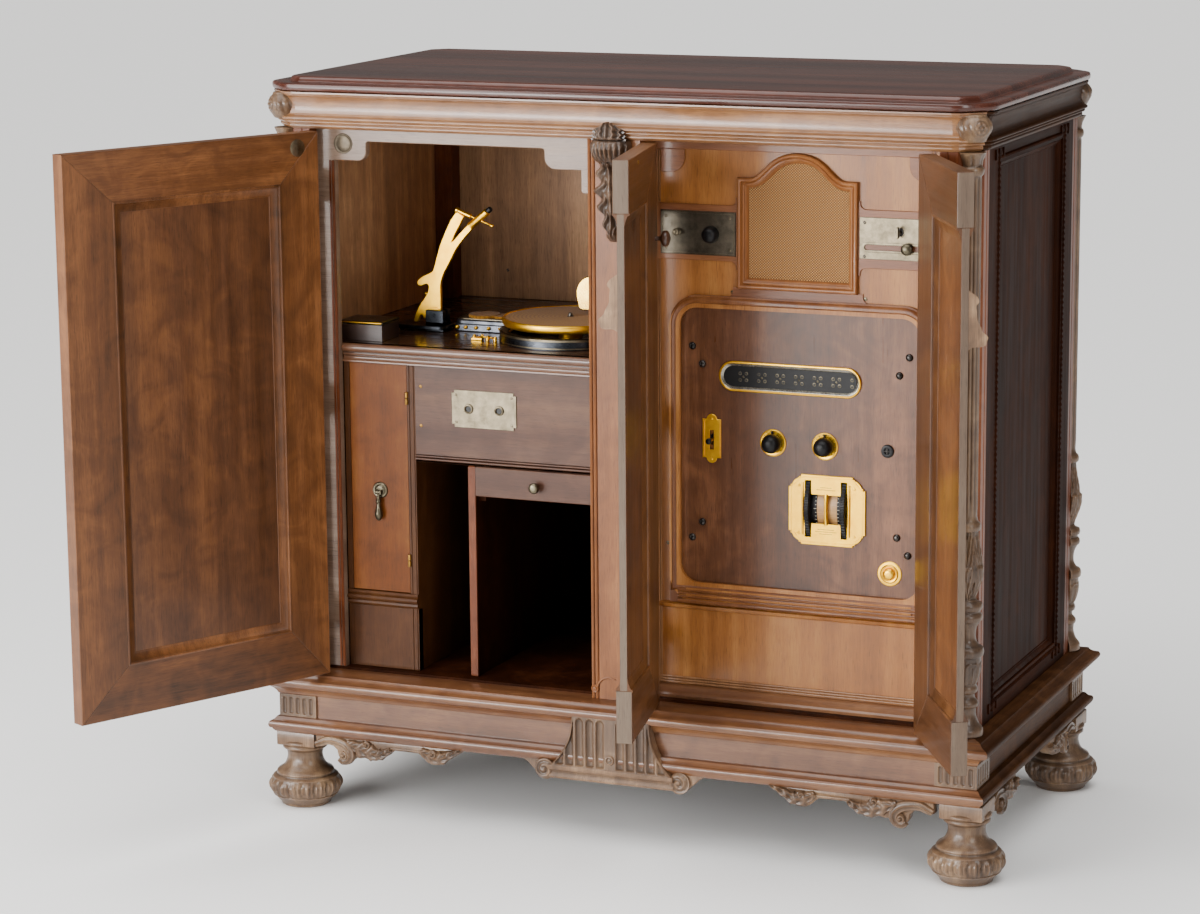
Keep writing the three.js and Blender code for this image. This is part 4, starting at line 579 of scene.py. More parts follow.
for name, sign in (("left", -1), ("right", 1)):
    uprights, lengths = [], []
    for y in ((-226.7, side_y[0]), (side_y[1], 226.7)):
        uprights.append(board((sign * 541, sign * 565), y, (227.3, 1091.2)))
    uprights.append(board((sign * 541, sign * 556), (-171, 171), (261, 1067), 0.3))
    for z in ((227.3, side_z[0]), (side_z[1], 1091.2)):
        lengths.append(board((sign * 541.2, sign * 565), side_y, z))
    moulding = [(0, sign * 560.5), (-1.5, sign * 562), (-3, sign * 561.4), (-8, sign * 557.2),
                (-9.4, sign * 557.4), (-11, sign * 555.6), (-11, sign * 554), (0, sign * 554)]
    uprights.append(band(rectangle(side_y, side_z), moulding, "yzx", "ring"))
    uprights.append(wavy_ring((-178.0, 178.0), (254.0, 1074.0), "yzx", sign * 565, 9.0, 2.4, 0.9))
    for z in (247.0, 1079.0):
        for y in (-196, -178, -158, 158, 178, 196):
            lengths.append(board((sign * 564, sign * 567.4), (y - 2.2, y + 2.2), (z - 8, z + 8), 0.9))
        for y in (-187, -168, 168, 187):
            lengths.append(slab(np.array([(y, z - 6), (y + 4, z), (y, z + 6), (y - 4, z)]), "yzx",
                                *sorted((sign * 564, sign * 566.6)), 1.0))
    piece(f"{name}_side_uprights", uprights, upright_walnut_painted_shade, stands_for=f"{name}_side")
    piece(f"{name}_side_rails", lengths, lengthwise_walnut_painted_shade)


# ------------------------------------------------------------------ Back and floor
# A plain stained back board with five ventilation slots and a ring of screws, and the case's
# floor. The sawn back is duller than the show wood.
plain_back = wood("stained_back_board", ("#2a1a11", "#4b3222", "#6a4a33"), rough=(0.5, 0.7), coat=0.0,
                  figure=0.1)


def coat_node(name, finish):
    """Gives a CAD node that keeps its shape a finish in place of its plain one."""
    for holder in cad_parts[name].material_slots:
        holder.material = finish


coat_node("back_panel", plain_back)
for hidden in ("bottom_board", "partition", "record_divider"):
    coat_node(hidden, upright_walnut_painted_shade)


def screw(x, y, z, order="xzy", sign=-1, radius=3.2, rise=0.9, turned=0.5):
    """A countersunk screw head, domed by rise, with a slot cut as two half heads 0.7 mm apart."""
    halves = []
    for side in (-1, 1):
        angle = np.linspace(0.22, np.pi - 0.22, 9) + (0 if side > 0 else np.pi) + turned
        ringed = [np.stack([r * np.cos(angle), r * np.sin(angle)], 1)
                  for r in (radius, radius, radius * 0.6, 0.9)]
        along = [y, y + sign * rise * 0.4, y + sign * rise * 0.85, y + sign * rise]
        rows = np.stack([lay(order, x + p[:, 0], z + p[:, 1], a) for p, a in zip(ringed, along)])
        halves.append(loft(rows))
    return halves


def screws(places, y, **shape):
    """Screw heads on the plane y, at each (x, z) of places."""
    return [half for x, z in places for half in screw(x, y, z, **shape)]


steel = metal("blued_screw_steel", "#4a4744", "#7d7870", (0.3, 0.5))
back_y = 276
back_places = [(x, z) for x in (-470, -235, 0, 235, 470) for z in (250, 1070)]
back_places += [(x, z) for z in (450, 660, 870) for x in (-495, 495)]
piece("back_screws", screws(back_places, back_y, sign=1), steel)


# ------------------------------------------------------------------ Plinth
# A heavy moulded base mitred round the case. Fluted blocks face its corners, and the front has
# an arcaded block in its middle over a rail that rolls into a volute at each end.
plinth_plan = rectangle((-half_width, half_width), (-half_depth, half_depth))
plinth_profile = np.concatenate([[(-22, 124), (16, 124), (18.4, 124.6)],
                                 smooth([(20, 125.4), (22.4, 128.6), (24, 131.6)], 3),
                                 smooth([(26.4, 132), (28, 135.6), (28, 139.4), (26.4, 142.4)], 3),
                                 smooth([(23.4, 143.4), (20.4, 145.6), (17.4, 149.6)], 3),
                                 [(14, 150.2), (10, 150.6), (10, 186.4), (13.6, 187)],
                                 smooth([(15, 188), (17.4, 192.6), (22, 198), (28, 202)], 3),
                                 [(30.6, 202.6), (31, 204.4)],
                                 smooth([(33.6, 204.8), (36, 208.4), (36, 212.4), (33.8, 215.8)], 3),
                                 smooth([(31, 216.6), (26.4, 218.4), (22.4, 221.4), (20.6, 224.4)], 3),
                                 [(17, 225.2), (8.4, 227), (-22, 227)]])
plinth_front, plinth_sides = front_and_sides(plinth_plan, plinth_profile)
piece("plinth_front_moulding", plinth_front, walnut_across, stands_for="plinth_front")
# The plinth's sides take the copy toned as painted shade.
piece("plinth_side_mouldings", plinth_sides, side_walnut_painted_shade,
      stands_for=["plinth_back", "plinth_left", "plinth_right"])


def carved_plate(order, a, b, c, back):
    """A height field: the grid a, b, c is the carved face, and its border drops to back, which is flat."""
    a, b, c = (np.asarray(g, float) for g in np.broadcast_arrays(a, b, c))
    n, m = a.shape
    face = lay(order, a, b, c)
    loop = np.concatenate([np.arange(m), m - 1 + m * np.arange(1, n), (n - 1) * m + np.arange(m - 2, -1, -1),
                           m * np.arange(n - 2, 0, -1)])
    flat = face.reshape(-1, 3)
    rim = flat[loop].copy()
    rim[:, "xyz".index(order[2])] = back
    i, j = np.arange(n - 1)[:, None], np.arange(m - 1)[None, :]
    quads = np.stack(np.broadcast_arrays(i * m + j, i * m + j + 1, (i + 1) * m + j + 1, (i + 1) * m + j),
                     -1).reshape(-1, 4)
    k = np.arange(len(loop))
    wall = np.stack([loop[k], n * m + k, n * m + (k + 1) % len(loop), np.roll(loop, -1)], 1)
    return np.concatenate([flat, rim]), np.concatenate([quads, wall]), [list(n * m + k[::-1])]


def fluted(a, b, level, out, count, width):
    """A block face with count sunk flutes of half-round section and round ends. out is the direction that
    the face looks in."""
    across, up = np.meshgrid(np.linspace(*a, 61), np.linspace(*b, 41), indexing="ij")
    pitch = (a[1] - a[0] - 6) / count
    inside = (across > a[0] + 3) & (across < a[1] - 3)
    near = np.where(inside, np.mod(across - a[0] - 3, pitch) - pitch / 2, width)
    over = np.maximum(up - (b[1] - 5 - width / 2), 0)
    under = np.maximum(b[0] + 4 + width / 2 - up, 0)
    rho = np.hypot(near, np.maximum(over, under)) / (width / 2)
    depth = np.sqrt(np.clip(1 - rho ** 2, 0, 1)) * width * 0.38
    return across, up, level - out * depth


blocks = []
for sx, sy in corner_signs:
    xs, ys = sorted((sx * 514.0, sx * 578.6)), sorted((sy * 233.0, sy * 297.6))
    a, b, c = fluted(xs, (150.6, 186.6), sy * 298.0, sy, 5, 7.0)
    blocks.append(carved_plate("xzy", a, b, c, sy * 293.0))
    a, b, c = fluted(ys, (150.6, 186.6), sx * 579.0, sx, 5, 7.0)
    blocks.append(carved_plate("yzx", a, b, c, sx * 574.0))
bell_across, bell_up = np.meshgrid(np.linspace(-1, 1, 181), np.linspace(121, 207, 45), indexing="ij")
bell_x = bell_across * (64 + 38 * ((207 - bell_up) / 86) ** 2.4)
flute_middle = np.where(np.abs(bell_x) < 8, 0, np.mod(np.abs(bell_x) - 8, 17) - 8.5)
flute_top = np.maximum(bell_up - 195.0, 0)
flute_rho = np.hypot(flute_middle, flute_top) / 6.6
inside_bell = (np.abs(bell_x) > 8) & (np.abs(bell_across) < 0.96) & (bell_up > 126)
flute_depth = np.sqrt(np.clip(1 - flute_rho ** 2, 0, 1)) * 5.0 * inside_bell
rim_round = 1.6 * np.clip((np.abs(bell_across) - 0.965) / 0.035, 0, 1)
blocks.append(carved_plate("xzy", bell_x, bell_up, -316.0 + flute_depth + rim_round, -296.0))
piece("plinth_blocks", blocks, carved_walnut, crease=40)


def forward(profile, x, z, y, around=40, ends="flat"):
    """A turning that faces the viewer: a profile of (radius, height forwards) from the plane y."""
    points, quads, caps = turn(profile, (x, z), "xzy", around, ends=ends)
    return points * (1, -1, 1) + (0, y, 0), quads, caps


boss = forward([(7.4, -2), (7.6, 1), (6.6, 2.6), (5.4, 2.8), (4.6, 1.6), (3, 1.4), (2, 2.2), (0.6, 2.4)], 0.0,
               140.0, -315.6, 32)
rail_profile = [(-22, 101), (-4, 101), (-2, 102), (-1, 105), (-2.6, 107), (-4.6, 110), (-4, 113), (-1, 115),
                (1.6, 117), (2.6, 119.4), (2.6, 123.4), (-22, 123.4)]


def strip(profile, x0, x1, face):
    """A straight moulding along X: a profile of (forwards, height) standing out from face."""
    out, up = np.asarray(profile, float).T
    return loft(np.stack([lay("yzx", face - out, up, x) for x in (x0, x1)]))


def volute(x, z, radius, y0, y1, turns, sign):
    """A rolled scroll end: a disc whose face is cut by a spiral groove round a raised eye."""
    angle = np.linspace(0, 2 * np.pi, 48, endpoint=False)[None, :]
    rho = np.linspace(0.4, radius, 16)[:, None]
    phase = sign * angle / (2 * np.pi) + rho / radius * turns
    height = 1.3 * np.cos(2 * np.pi * phase) * np.clip(rho / 3, 0, 1) + 2.4 * hump(rho, 0, radius * 0.36)
    height = height + 3.0 * (1 - (rho / radius) ** 4)
    face = lay("xzy", x + rho * np.cos(angle), z + rho * np.sin(angle), y0 - height)
    wall = lay("xzy", x + radius * np.cos(angle), z + radius * np.sin(angle), np.array([[y0 + 2.0], [y1]]))
    return loft(np.concatenate([face, wall]))


apron_rail = [strip(rail_profile, -103, 103, -315.0), boss, volute(-112, 114.0, 16.6, -310.0, -290, 1.8, 1),
              volute(112, 114.0, 16.6, -310.0, -290, 1.8, -1)]
for sign in (-1, 1):
    tail = np.array([(118, 128), (120, 116), (128, 108), (134, 112), (142, 120), (152, 126), (152, 130)],
                    float)
    tail[:, 0] *= sign
    apron_rail.append(slab(tail if sign > 0 else tail[::-1], "xzy", -305, -290, 1.4))
piece("centre_rail_and_boss", apron_rail, carved_walnut, crease=40)


# ------------------------------------------------------------------ Carved scroll aprons
# Pierced brackets under the plinth, sawn and carved: from each foot an acanthus leaf curls into a
# C-scroll, and a thin strip leads on to two smaller scrolls.
def leafy_strip(knots, order, plane, thick, lobes, sign=1):
    """A carved band along knots of (along, up, half width, lobe depth): a crowned section with a rib down
    its middle, side veins, and an edge scalloped lobes times."""
    line = smooth(knots, 14)
    spot, half, depth = line[:, :2], line[:, 2:3], line[:, 3:4]
    ahead = np.gradient(spot, axis=0)
    ahead /= np.hypot(*ahead.T)[:, None]
    beside = np.stack([-ahead[:, 1], ahead[:, 0]], 1)
    run = np.linspace(0, 1, len(line))[:, None]
    across = np.concatenate([np.linspace(-1, 1, 17), np.linspace(0.98, -0.98, 5)])[None, :]
    top = (np.arange(22) < 17)[None, :]
    scallop = 1 - depth * np.abs(np.cos(np.pi * lobes * run))
    offset = across * half * scallop
    spot2 = spot[:, None] + offset[..., None] * beside[:, None]
    crown = np.sqrt(np.clip(1 - across ** 2, 0, 1))
    ribs = np.cos(2 * np.pi * (lobes * run - 0.8 * np.abs(across)))
    vein = 0.14 * ribs * (1 - across ** 2) * (depth > 0.02)
    rib = 0.2 * hump(across, 0, 0.22) + 0.12 * hump(np.abs(across), 0.72, 0.2)
    height = np.where(top, thick * (0.3 + 0.55 * crown + vein + rib), 0.0)
    return loft(lay(order, spot2[..., 0] * sign, spot2[..., 1], plane[0] + plane[1] * height))


def wire(path, radius, around=10):
    """A round bar along a path of points, with its section kept square to the path."""
    path = np.asarray(path, float)
    ahead = np.gradient(path, axis=0)
    ahead /= np.linalg.norm(ahead, axis=1)[:, None]
    helper = np.where(np.abs(ahead[:, 2:3]) < 0.9, [[0.0, 0, 1]], [[0.0, 1, 0]])
    side = np.cross(ahead, helper)
    side /= np.linalg.norm(side, axis=1)[:, None]
    other = np.cross(ahead, side)
    angle = np.linspace(0, 2 * np.pi, around, endpoint=False)[None, :, None]
    size = np.broadcast_to(np.asarray(radius, float), (len(path),))[:, None, None]
    return loft(path[:, None] + size * (np.cos(angle) * side[:, None] + np.sin(angle) * other[:, None]))


front_scroll = [
    ([(1, 110, 5, 0), (9, 113, 6.5, 0), (22, 118, 7.5, 0), (38, 117, 8.5, 0), (53, 112, 9, 0),
      (62, 101, 8.4, 0), (59, 90, 7, 0), (49, 85.6, 5.6, 0), (42, 90, 4.6, 0)], 1),
    ([(57, 117, 6, 0), (70, 113, 11, 0.16), (84, 109, 15, 0.26), (99, 105, 15, 0.28), (113, 104, 11, 0.26),
      (124, 108, 7.5, 0.16), (133, 114, 4, 0)], 5),
    ([(186, 119, 5, 0), (196, 113, 10, 0.14), (209, 108.6, 13, 0.24), (222, 109, 11.4, 0.26),
      (234, 115, 8, 0.2), (246, 121, 5, 0.1), (258, 127, 2, 0)], 5)]
scroll_outline = [(0, 126), (0, 107), (8, 109), (18, 111), (30, 109), (37, 103), (39, 94), (44, 86),
                  (54, 83.6), (63, 87), (69, 94), (77, 93), (86, 95), (95, 91.6), (106, 92), (116, 96),
                  (125, 101), (132, 109), (140, 112), (180, 112), (187, 107), (194, 100), (204, 96),
                  (216, 97), (226, 102), (236, 109), (247, 115), (260, 124), (262, 126)]
scroll_eyes = [(50.5, 95.5, 7.6), (92, 117, 6.6), (207, 114, 7.4)]
front_scroll_plane, front_reach = -297.0, 514
aprons = []
for sign in (-1, 1):
    for knots, lobes in front_scroll:
        moved = [(front_reach - along, up, half, depth) for along, up, half, depth in knots]
        aprons.append(leafy_strip(moved, "xzy", (front_scroll_plane, -1.0), 10.5, lobes, sign))
    under = np.array([(front_reach - along, up) for along, up in scroll_outline], float) * (sign, 1)
    aprons.append(slab(under if sign < 0 else under[::-1], "xzy", front_scroll_plane - 3, -280, 1.2))
    for along, up, radius in scroll_eyes:
        aprons.append(volute(sign * (front_reach - along), up, radius, front_scroll_plane - 6.5,
                             front_scroll_plane, 1.3, sign))
    strip_bead = [(sign * (front_reach - along), front_scroll_plane - 3, 115.6) for along in (132, 160, 190)]
    aprons.append(wire(strip_bead, 1.7, 10))


def side_eye(y, z, radius, face, sign_x):
    """A domed eye with a ring, on a carving that faces sideways."""
    eye = turn([(radius, -4), (radius, 2), (radius * 0.8, 3.4), (radius * 0.6, 2.6), (radius * 0.4, 4.4),
                (0.5, 5)], (y, z), "yzx", 24)
    return eye[0] * (sign_x, 1, 1) + (face, 0, 0), eye[1], eye[2]


side_reach = 229      # where a side scroll starts, behind the cabinet's middle
for sx, sy in ((-1, -1), (-1, 1), (1, -1), (1, 1)):
    for knots, lobes in front_scroll[:2]:
        moved = [(side_reach - along, up, half, depth) for along, up, half, depth in knots]
        aprons.append(leafy_strip(moved, "yzx", (sx * 578.0, sx * 1.0), 10.5, lobes, sy))
    under = [(side_reach - along, up) for along, up in scroll_outline[:18]] + [(96, 119), (88, 126)]
    under = np.array(under, float) * (sy, 1)
    aprons.append(slab(under if sy < 0 else under[::-1], "yzx", *sorted((sx * 561.0, sx * 581.0)), 1.2))
    for along, up, radius in scroll_eyes[:2]:
        aprons.append(side_eye(sy * (side_reach - along), up, radius, sx * 584.0, sx))
piece("scroll_aprons", aprons, carved_walnut, crease=50)


# ------------------------------------------------------------------ Bun feet
# Turned walnut feet: a round collar and waist over a squashed ball, whose shoulder is carved with
# a band of overlapping leaves, under a square block that joins the plinth.
foot_profile = np.concatenate([
    [(30, 0), (38, 0), (40, 1.4)], smooth([(41, 5), (46, 10), (52, 17), (56, 26), (57, 34), (55.4, 41)], 8),
    smooth([(52.4, 44.6), (49.6, 47.6), (46.4, 49)], 3), smooth([(45.4, 51), (46, 53.6), (44, 56.4)], 3),
    smooth([(39, 59), (33, 65), (29, 74), (28.2, 82), (30, 89)], 5),
    smooth([(32, 90.6), (35.4, 93), (35.6, 96), (33.6, 99.4)], 3), [(31, 100)]])
collar_profile = smooth([(30, 99), (36.4, 100.4), (37, 104), (34, 107)], 3)


def foot_relief(angle, length, radius):
    """A belt of sixteen pointed leaves on the ball's shoulder, each with a rib, over a fine string."""
    belt = np.clip((length - 18) / 26, 0, 1)
    inside = (length > 18) * (length < 44)
    tilt = np.abs(np.sin(8 * angle + 0.6 * np.sin(np.pi * belt)))
    leaves = (4.6 * (tilt - 0.5) + 1.2 * np.cos(48 * angle) * (tilt > 0.4)) * np.sin(np.pi * belt) ** 0.5
    return inside * (leaves - 0.6) + 1.2 * hump(length, 46, 1.8) + 1.0 * hump(length, 16.5, 1.6)


feet, block_half = [], 33
for sx, sy in corner_signs:
    x, y = sx * 554.0, sy * 262.0
    feet += [turn(foot_profile, (x, y), around=160, relief=foot_relief),
             board((x - block_half, x + block_half), (y - block_half, y + block_half), (99.6, 123.7), 1.4),
             turn(collar_profile, (x, y), around=64)]
piece("bun_feet", feet, carved_walnut, crease=50,
      stands_for=[f"foot_{a}_{b}" for a in ("front", "back") for b in ("left", "right")])


# ------------------------------------------------------------------ Centre stile
# The upright between the two openings, of straight-grained walnut: two cocked beads run down its
# left edge to a small roundel, from which an S-shaped bead sweeps up.
stile_plan = np.array([(-43, -230.3), (-43, -281), (-42, -283.2), (-40, -284), (-38, -283.2), (-37.2, -281),
                       (-36.4, -281), (-35.6, -283), (-33.6, -283.8), (-31.6, -283), (-30.8, -281),
                       (-29.6, -281), (-28.8, -283.4), (43, -283.4), (43, -230.3)])
stile_walnut = wood("stile_walnut", ("#4d2912", "#774826", "#99663a"), coat=0.1, gloss=0.25, figure=0.18,
                    shift=0.31)
piece("centre_stile_beaded", [slab(stile_plan, "xyz", 227.3, 1091.2, 0.3)], stile_walnut,
      stands_for="centre_stile")
sweep_bead = smooth([(-33, -284, 246), (-29, -284, 254), (-22, -284, 260), (-12, -284, 262), (-2, -284, 259)],
                    6)
piece("stile_roundel", [wire(sweep_bead, np.linspace(2.2, 1.2, len(sweep_bead)))], stile_walnut)
roundel = forward([(6.4, -1), (6.4, 1.6), (5.2, 3), (3.6, 2.4), (2.6, 3.6), (0.6, 4)], -36.6, 243, -283.4, 24)
piece("stile_roundel_eye", [roundel], stile_walnut)


# ------------------------------------------------------------------ Acanthus console
# A bracket carved from one block stands on the stile: a scalloped cap laps over the cornice, a
# heavy roll hangs under it, and a long leaf with curled lobes tapers to a berry.
up_line, across_line = np.meshgrid(np.linspace(0, 1, 150), np.linspace(-1, 1, 65), indexing="ij")
height = 938 + 180 * up_line
half = np.interp(height, [938, 946, 958, 975, 995, 1015, 1035, 1050, 1066, 1084, 1090, 1100, 1112, 1118],
                 [5, 10, 12, 17, 22, 24, 21, 22, 28, 30.5, 28, 26, 24, 13])
lobes = 1 + 0.16 * np.cos(2 * np.pi * 7.0 * up_line) * (height < 1060) * (height > 950)
crest = height > 1093
lobes = np.where(crest, 1 + 0.08 * np.cos(2 * np.pi * (height - 1093) / 9), lobes)
depth = np.interp(height, [938, 943, 950, 960, 975, 995, 1015, 1035, 1050, 1060, 1070, 1080, 1088, 1092, 1096,
                           1118], [3, 9, 12, 10, 8.5, 10, 15, 13.5, 16, 24, 32, 35, 33, 29, 31, 27])
wing = np.abs(across_line)
crown = np.sqrt(np.clip(1 - 0.82 * wing ** 2, 0, 1))
rib = 3.0 * hump(wing, 0, 0.2) - 1.4 * hump(wing, 0.3, 0.16)
fingers = np.cos(2 * np.pi * (7.0 * up_line + 1.1 * wing)) * np.clip(wing * 2.4, 0, 1)
strands = 2.2 * np.cos(2 * np.pi * 4.0 * across_line) * hump(height, 1076, 20)
shell = 2.4 * np.cos(2 * np.pi * 2.5 * across_line) * crest * np.clip((height - 1093) / 6, 0, 1)
leafy = (3.3 * fingers + 1.3 * rib) * (height < 1058) * np.clip((height - 944) / 12, 0, 1)
gap_line = -2.6 * hump(height, 1092.5, 2.2) - 1.6 * hump(height, 1058, 3)
rise = depth * crown + leafy + strands + shell + gap_line
berry = 3.4 * hump(np.hypot(across_line * half, height - 948), 0, 7)
stile_plane, cornice_plane, cornice_foot = -284.3, -301.3, 1091.3
seat = np.where(height > cornice_foot, cornice_plane, stile_plane)
tip_round = np.where(crest, (1 - ((height - 1093) / 26) ** 4 * 0.35 * wing ** 2), 1)
carve_x = across_line * half * lobes
carve_z = np.where(crest,
                   1093 + (height - 1093) * (1 - 0.28 * wing ** 2 + 0.07 * np.cos(2 * np.pi * 2.5 * wing)),
                   height)
carve_y = np.minimum(stile_plane - np.maximum((rise + berry) * tip_round, 1.2), seat - 1.0)
console = carved_plate("xzy", carve_x, carve_z, carve_y, stile_plane)
behind = console[0]
over_cornice = (behind[:, 1] > stile_plane - 0.01) & (behind[:, 2] > cornice_foot)
behind[over_cornice, 1] = cornice_plane
shaded_carving = wood("shaded_carved_walnut", ("#1c130d", "#3b2b20", "#6d5644"), rough=(0.3, 0.45), coat=0.3,
                      figure=0.35, crease_shade=0.6)
piece("acanthus_console", [console], shaded_carving, stands_for="centre_carving", crease=60)


# ------------------------------------------------------------------ Wide left door
# Frame and panel in walnut with mitred corners: the frame's grain turns the corner, a stepped and
# bevelled moulding holds a figured panel, and brass knuckles hang it on the post.
def hang(pin_x, degrees, flip=1):
    """Takes a door's own (along, depth, height), from its pin, to its place when it stands open."""
    c, s = np.cos(np.radians(degrees)), np.sin(np.radians(degrees))

    def move(p):
        along, through = flip * p[:, 0], p[:, 1]
        return np.stack([pin_x + c * along - s * through, pin_y + s * along + c * through, p[:, 2]], 1)
    return move, (flip * c, flip * s, 0)


def run(path, profile, order, ring=False):
    """Carries a closed profile of (aside, depth) along a path in a plane, mitred at its corners."""
    p = np.asarray(path, float)
    edge = (np.roll(p, -1, 0) - p)[:len(p) if ring else -1]
    edge /= np.hypot(*edge.T)[:, None]
    normal = np.stack([edge[:, 1], -edge[:, 0]], 1)
    after = normal if ring else np.concatenate([normal, normal[-1:]])
    before = np.roll(after, 1, 0) if ring else np.concatenate([normal[:1], normal])
    mitre = (after + before) / (1 + (after * before).sum(1))[:, None]
    aside, deep = np.asarray(profile, float).T
    spread = p[:, None] + aside[None, :, None] * mitre[:, None]
    return loft(lay(order, spread[..., 0], spread[..., 1], deep[None, :]), "ring" if ring else "flat")


inner_moulding = [(2, 18), (2, 28.2), (0.8, 29.0), (-0.8, 29.0), (-2, 28.0), (-2.4, 26.0), (-3.4, 25.8),
                  (-4.6, 25.0), (-13, 21.9), (-15.4, 21.9), (-16.4, 21.2), (-16.4, 18)]
outer_moulding = [(2, 12), (2, 3.8), (0.4, 3.0), (-1.4, 3.4), (-3, 5.2), (-6, 7.4), (-10, 9), (-12.4, 9.2),
                  (-13.4, 9.8), (-13.4, 12)]
frame_tones = ("#37200f", "#5e381c", "#85552f")
rail_z = (311.0, 1012.0)


def door_parts(width, stile, far_stile):
    """A door's four mitred frame members, as uprights and rails, and its panel. With no far stile the panel
    and the rails run out through the meeting edge."""
    a, b = 1.0, 1.0 + width
    left, right = stile, b - far_stile if far_stile else b
    (z0, z1), (p0, p1) = (door_bottom, door_top), rail_z
    uprights = [slab([(a, z0), (left, p0), (left, p1), (a, z1)], "xzy", 4, 28)]
    if far_stile:
        uprights.append(slab([(b, z0), (b, z1), (right, p1), (right, p0)], "xzy", 4, 28))
    rails = [slab([(a, z0), (b, z0), (right, p0), (left, p0)], "xzy", 4, 28),
             slab([(a, z1), (left, p1), (right, p1), (b, z1)], "xzy", 4, 28)]
    panel = slab([(left, p0), (right, p0), (right, p1), (left, p1)], "xzy", 10, 21.2, 0.2)
    line = rectangle((left, right), rail_z) if far_stile else [(right, p1), (left, p1), (left, p0),
                                                               (right, p0)]
    mouldings = [run(line, profile, "xzy", bool(far_stile)) for profile in (inner_moulding, outer_moulding)]
    return uprights, rails, panel, mouldings


def moving_hinges(name, body, move):
    """The upper brass knuckles, which turn with their door, and their leaves on its edge."""
    parts = []
    for z in hinge_heights:
        parts += [hinge_barrel(0, 0, z + 0.5, z + knuckle, 5), board((0.4, 3.2), (0.5, 20), (z + 1, z + 25.6),
                                                                     0.3)]
    piece(name, parts, brass, body=body, move=move)


left_move, left_way = hang(-507.0, -116.3)
left_uprights, left_rails, left_panel, left_mouldings = door_parts(462.0, 75.0, 87.0)
door_up = wood("door_walnut_upright", frame_tones, coat=0.15, figure=0.3, shift=1.3)
door_along = wood("left_door_walnut_along", frame_tones, grain=left_way, coat=0.15, figure=0.3, shift=2.1)
figured_panel = wood("figured_door_panel", ("#311b0d", "#513019", "#724726"), coat=0.18, figure=0.32,
                     streak=1.0, shift=3.2)
piece("left_door_stiles", left_uprights + left_mouldings, door_up, "left_door", "left_door",
      move=left_move)
piece("left_door_rails", left_rails, door_along, "left_door", move=left_move)
piece("left_door_panel", [left_panel], figured_panel, "left_door", move=left_move)
moving_hinges("left_door_hinges", "left_door", left_move)


weathered_brass = metal("weathered_brass", "#5c5244", "#3f372c", (0.34, 0.5))
nickel = metal("dull_nickel_plate", "#7e735e", "#544c3c", (0.28, 0.42))
strike_z = 1067
strike = [turn([(15, 27), (15, 27), (14.4, 27.575), (13.2, 28.15)], (40, strike_z), "xzy", 32),
          slab([(38.6, 1060), (41.4, 1060), (41.4, 1074), (38.6, 1074)], "xzy", 27, 28.3, 0.1)]
strike += screws([(40, strike_z - 9.6), (40, strike_z + 9.6)], 28.0, sign=1, radius=2.0, rise=0.28)
piece("left_door_strike", strike, nickel, "left_door", move=left_move)


# ------------------------------------------------------------------ Pair of narrow doors
# Two narrower doors close over the radio. Their panels run out through the meeting edges, where
# each carries half of a carved boss; the bare edges are pale, partly from wear and partly as a painted
# highlight.
# Toned pale as a painted highlight on the edges, with some wear.
pale_edge_wear_and_highlight = wood("pale_edge_wear_and_painted_highlight", ("#443427", "#5b4a3c", "#6e5f4f"), rough=(0.45, 0.6), coat=0.1, figure=0.1)


def carved_half_boss(width):
    """Half of the boss on the outer face at the meeting edge: a profile in depth and height, run along."""
    line = smooth([(11, 842), (3, 846), (-8, 846), (-15, 850), (-17, 858), (-12, 866), (-6, 874), (-2, 888),
                   (0, 902), (-4, 909), (-2, 916), (4, 921), (11, 926)], 4)
    x = np.linspace(width - 33, width + 1, 14)[:, None]
    swell = np.sin(np.clip((x - width + 33) / 34, 0, 1) * np.pi / 2) ** 0.7
    along_line = np.linspace(0, 1, len(line))
    cuts = 1.2 * np.cos(14 * np.pi * along_line)[None, :] * hump(along_line, 0.45, 0.45)[None, :]
    y = 10.6 + (line[:, 0][None, :] - 11) * swell + cuts * swell
    z = 884 + (line[:, 1][None, :] - 884) * (0.55 + 0.45 * swell)
    return loft(lay("yzx", y, z, x))


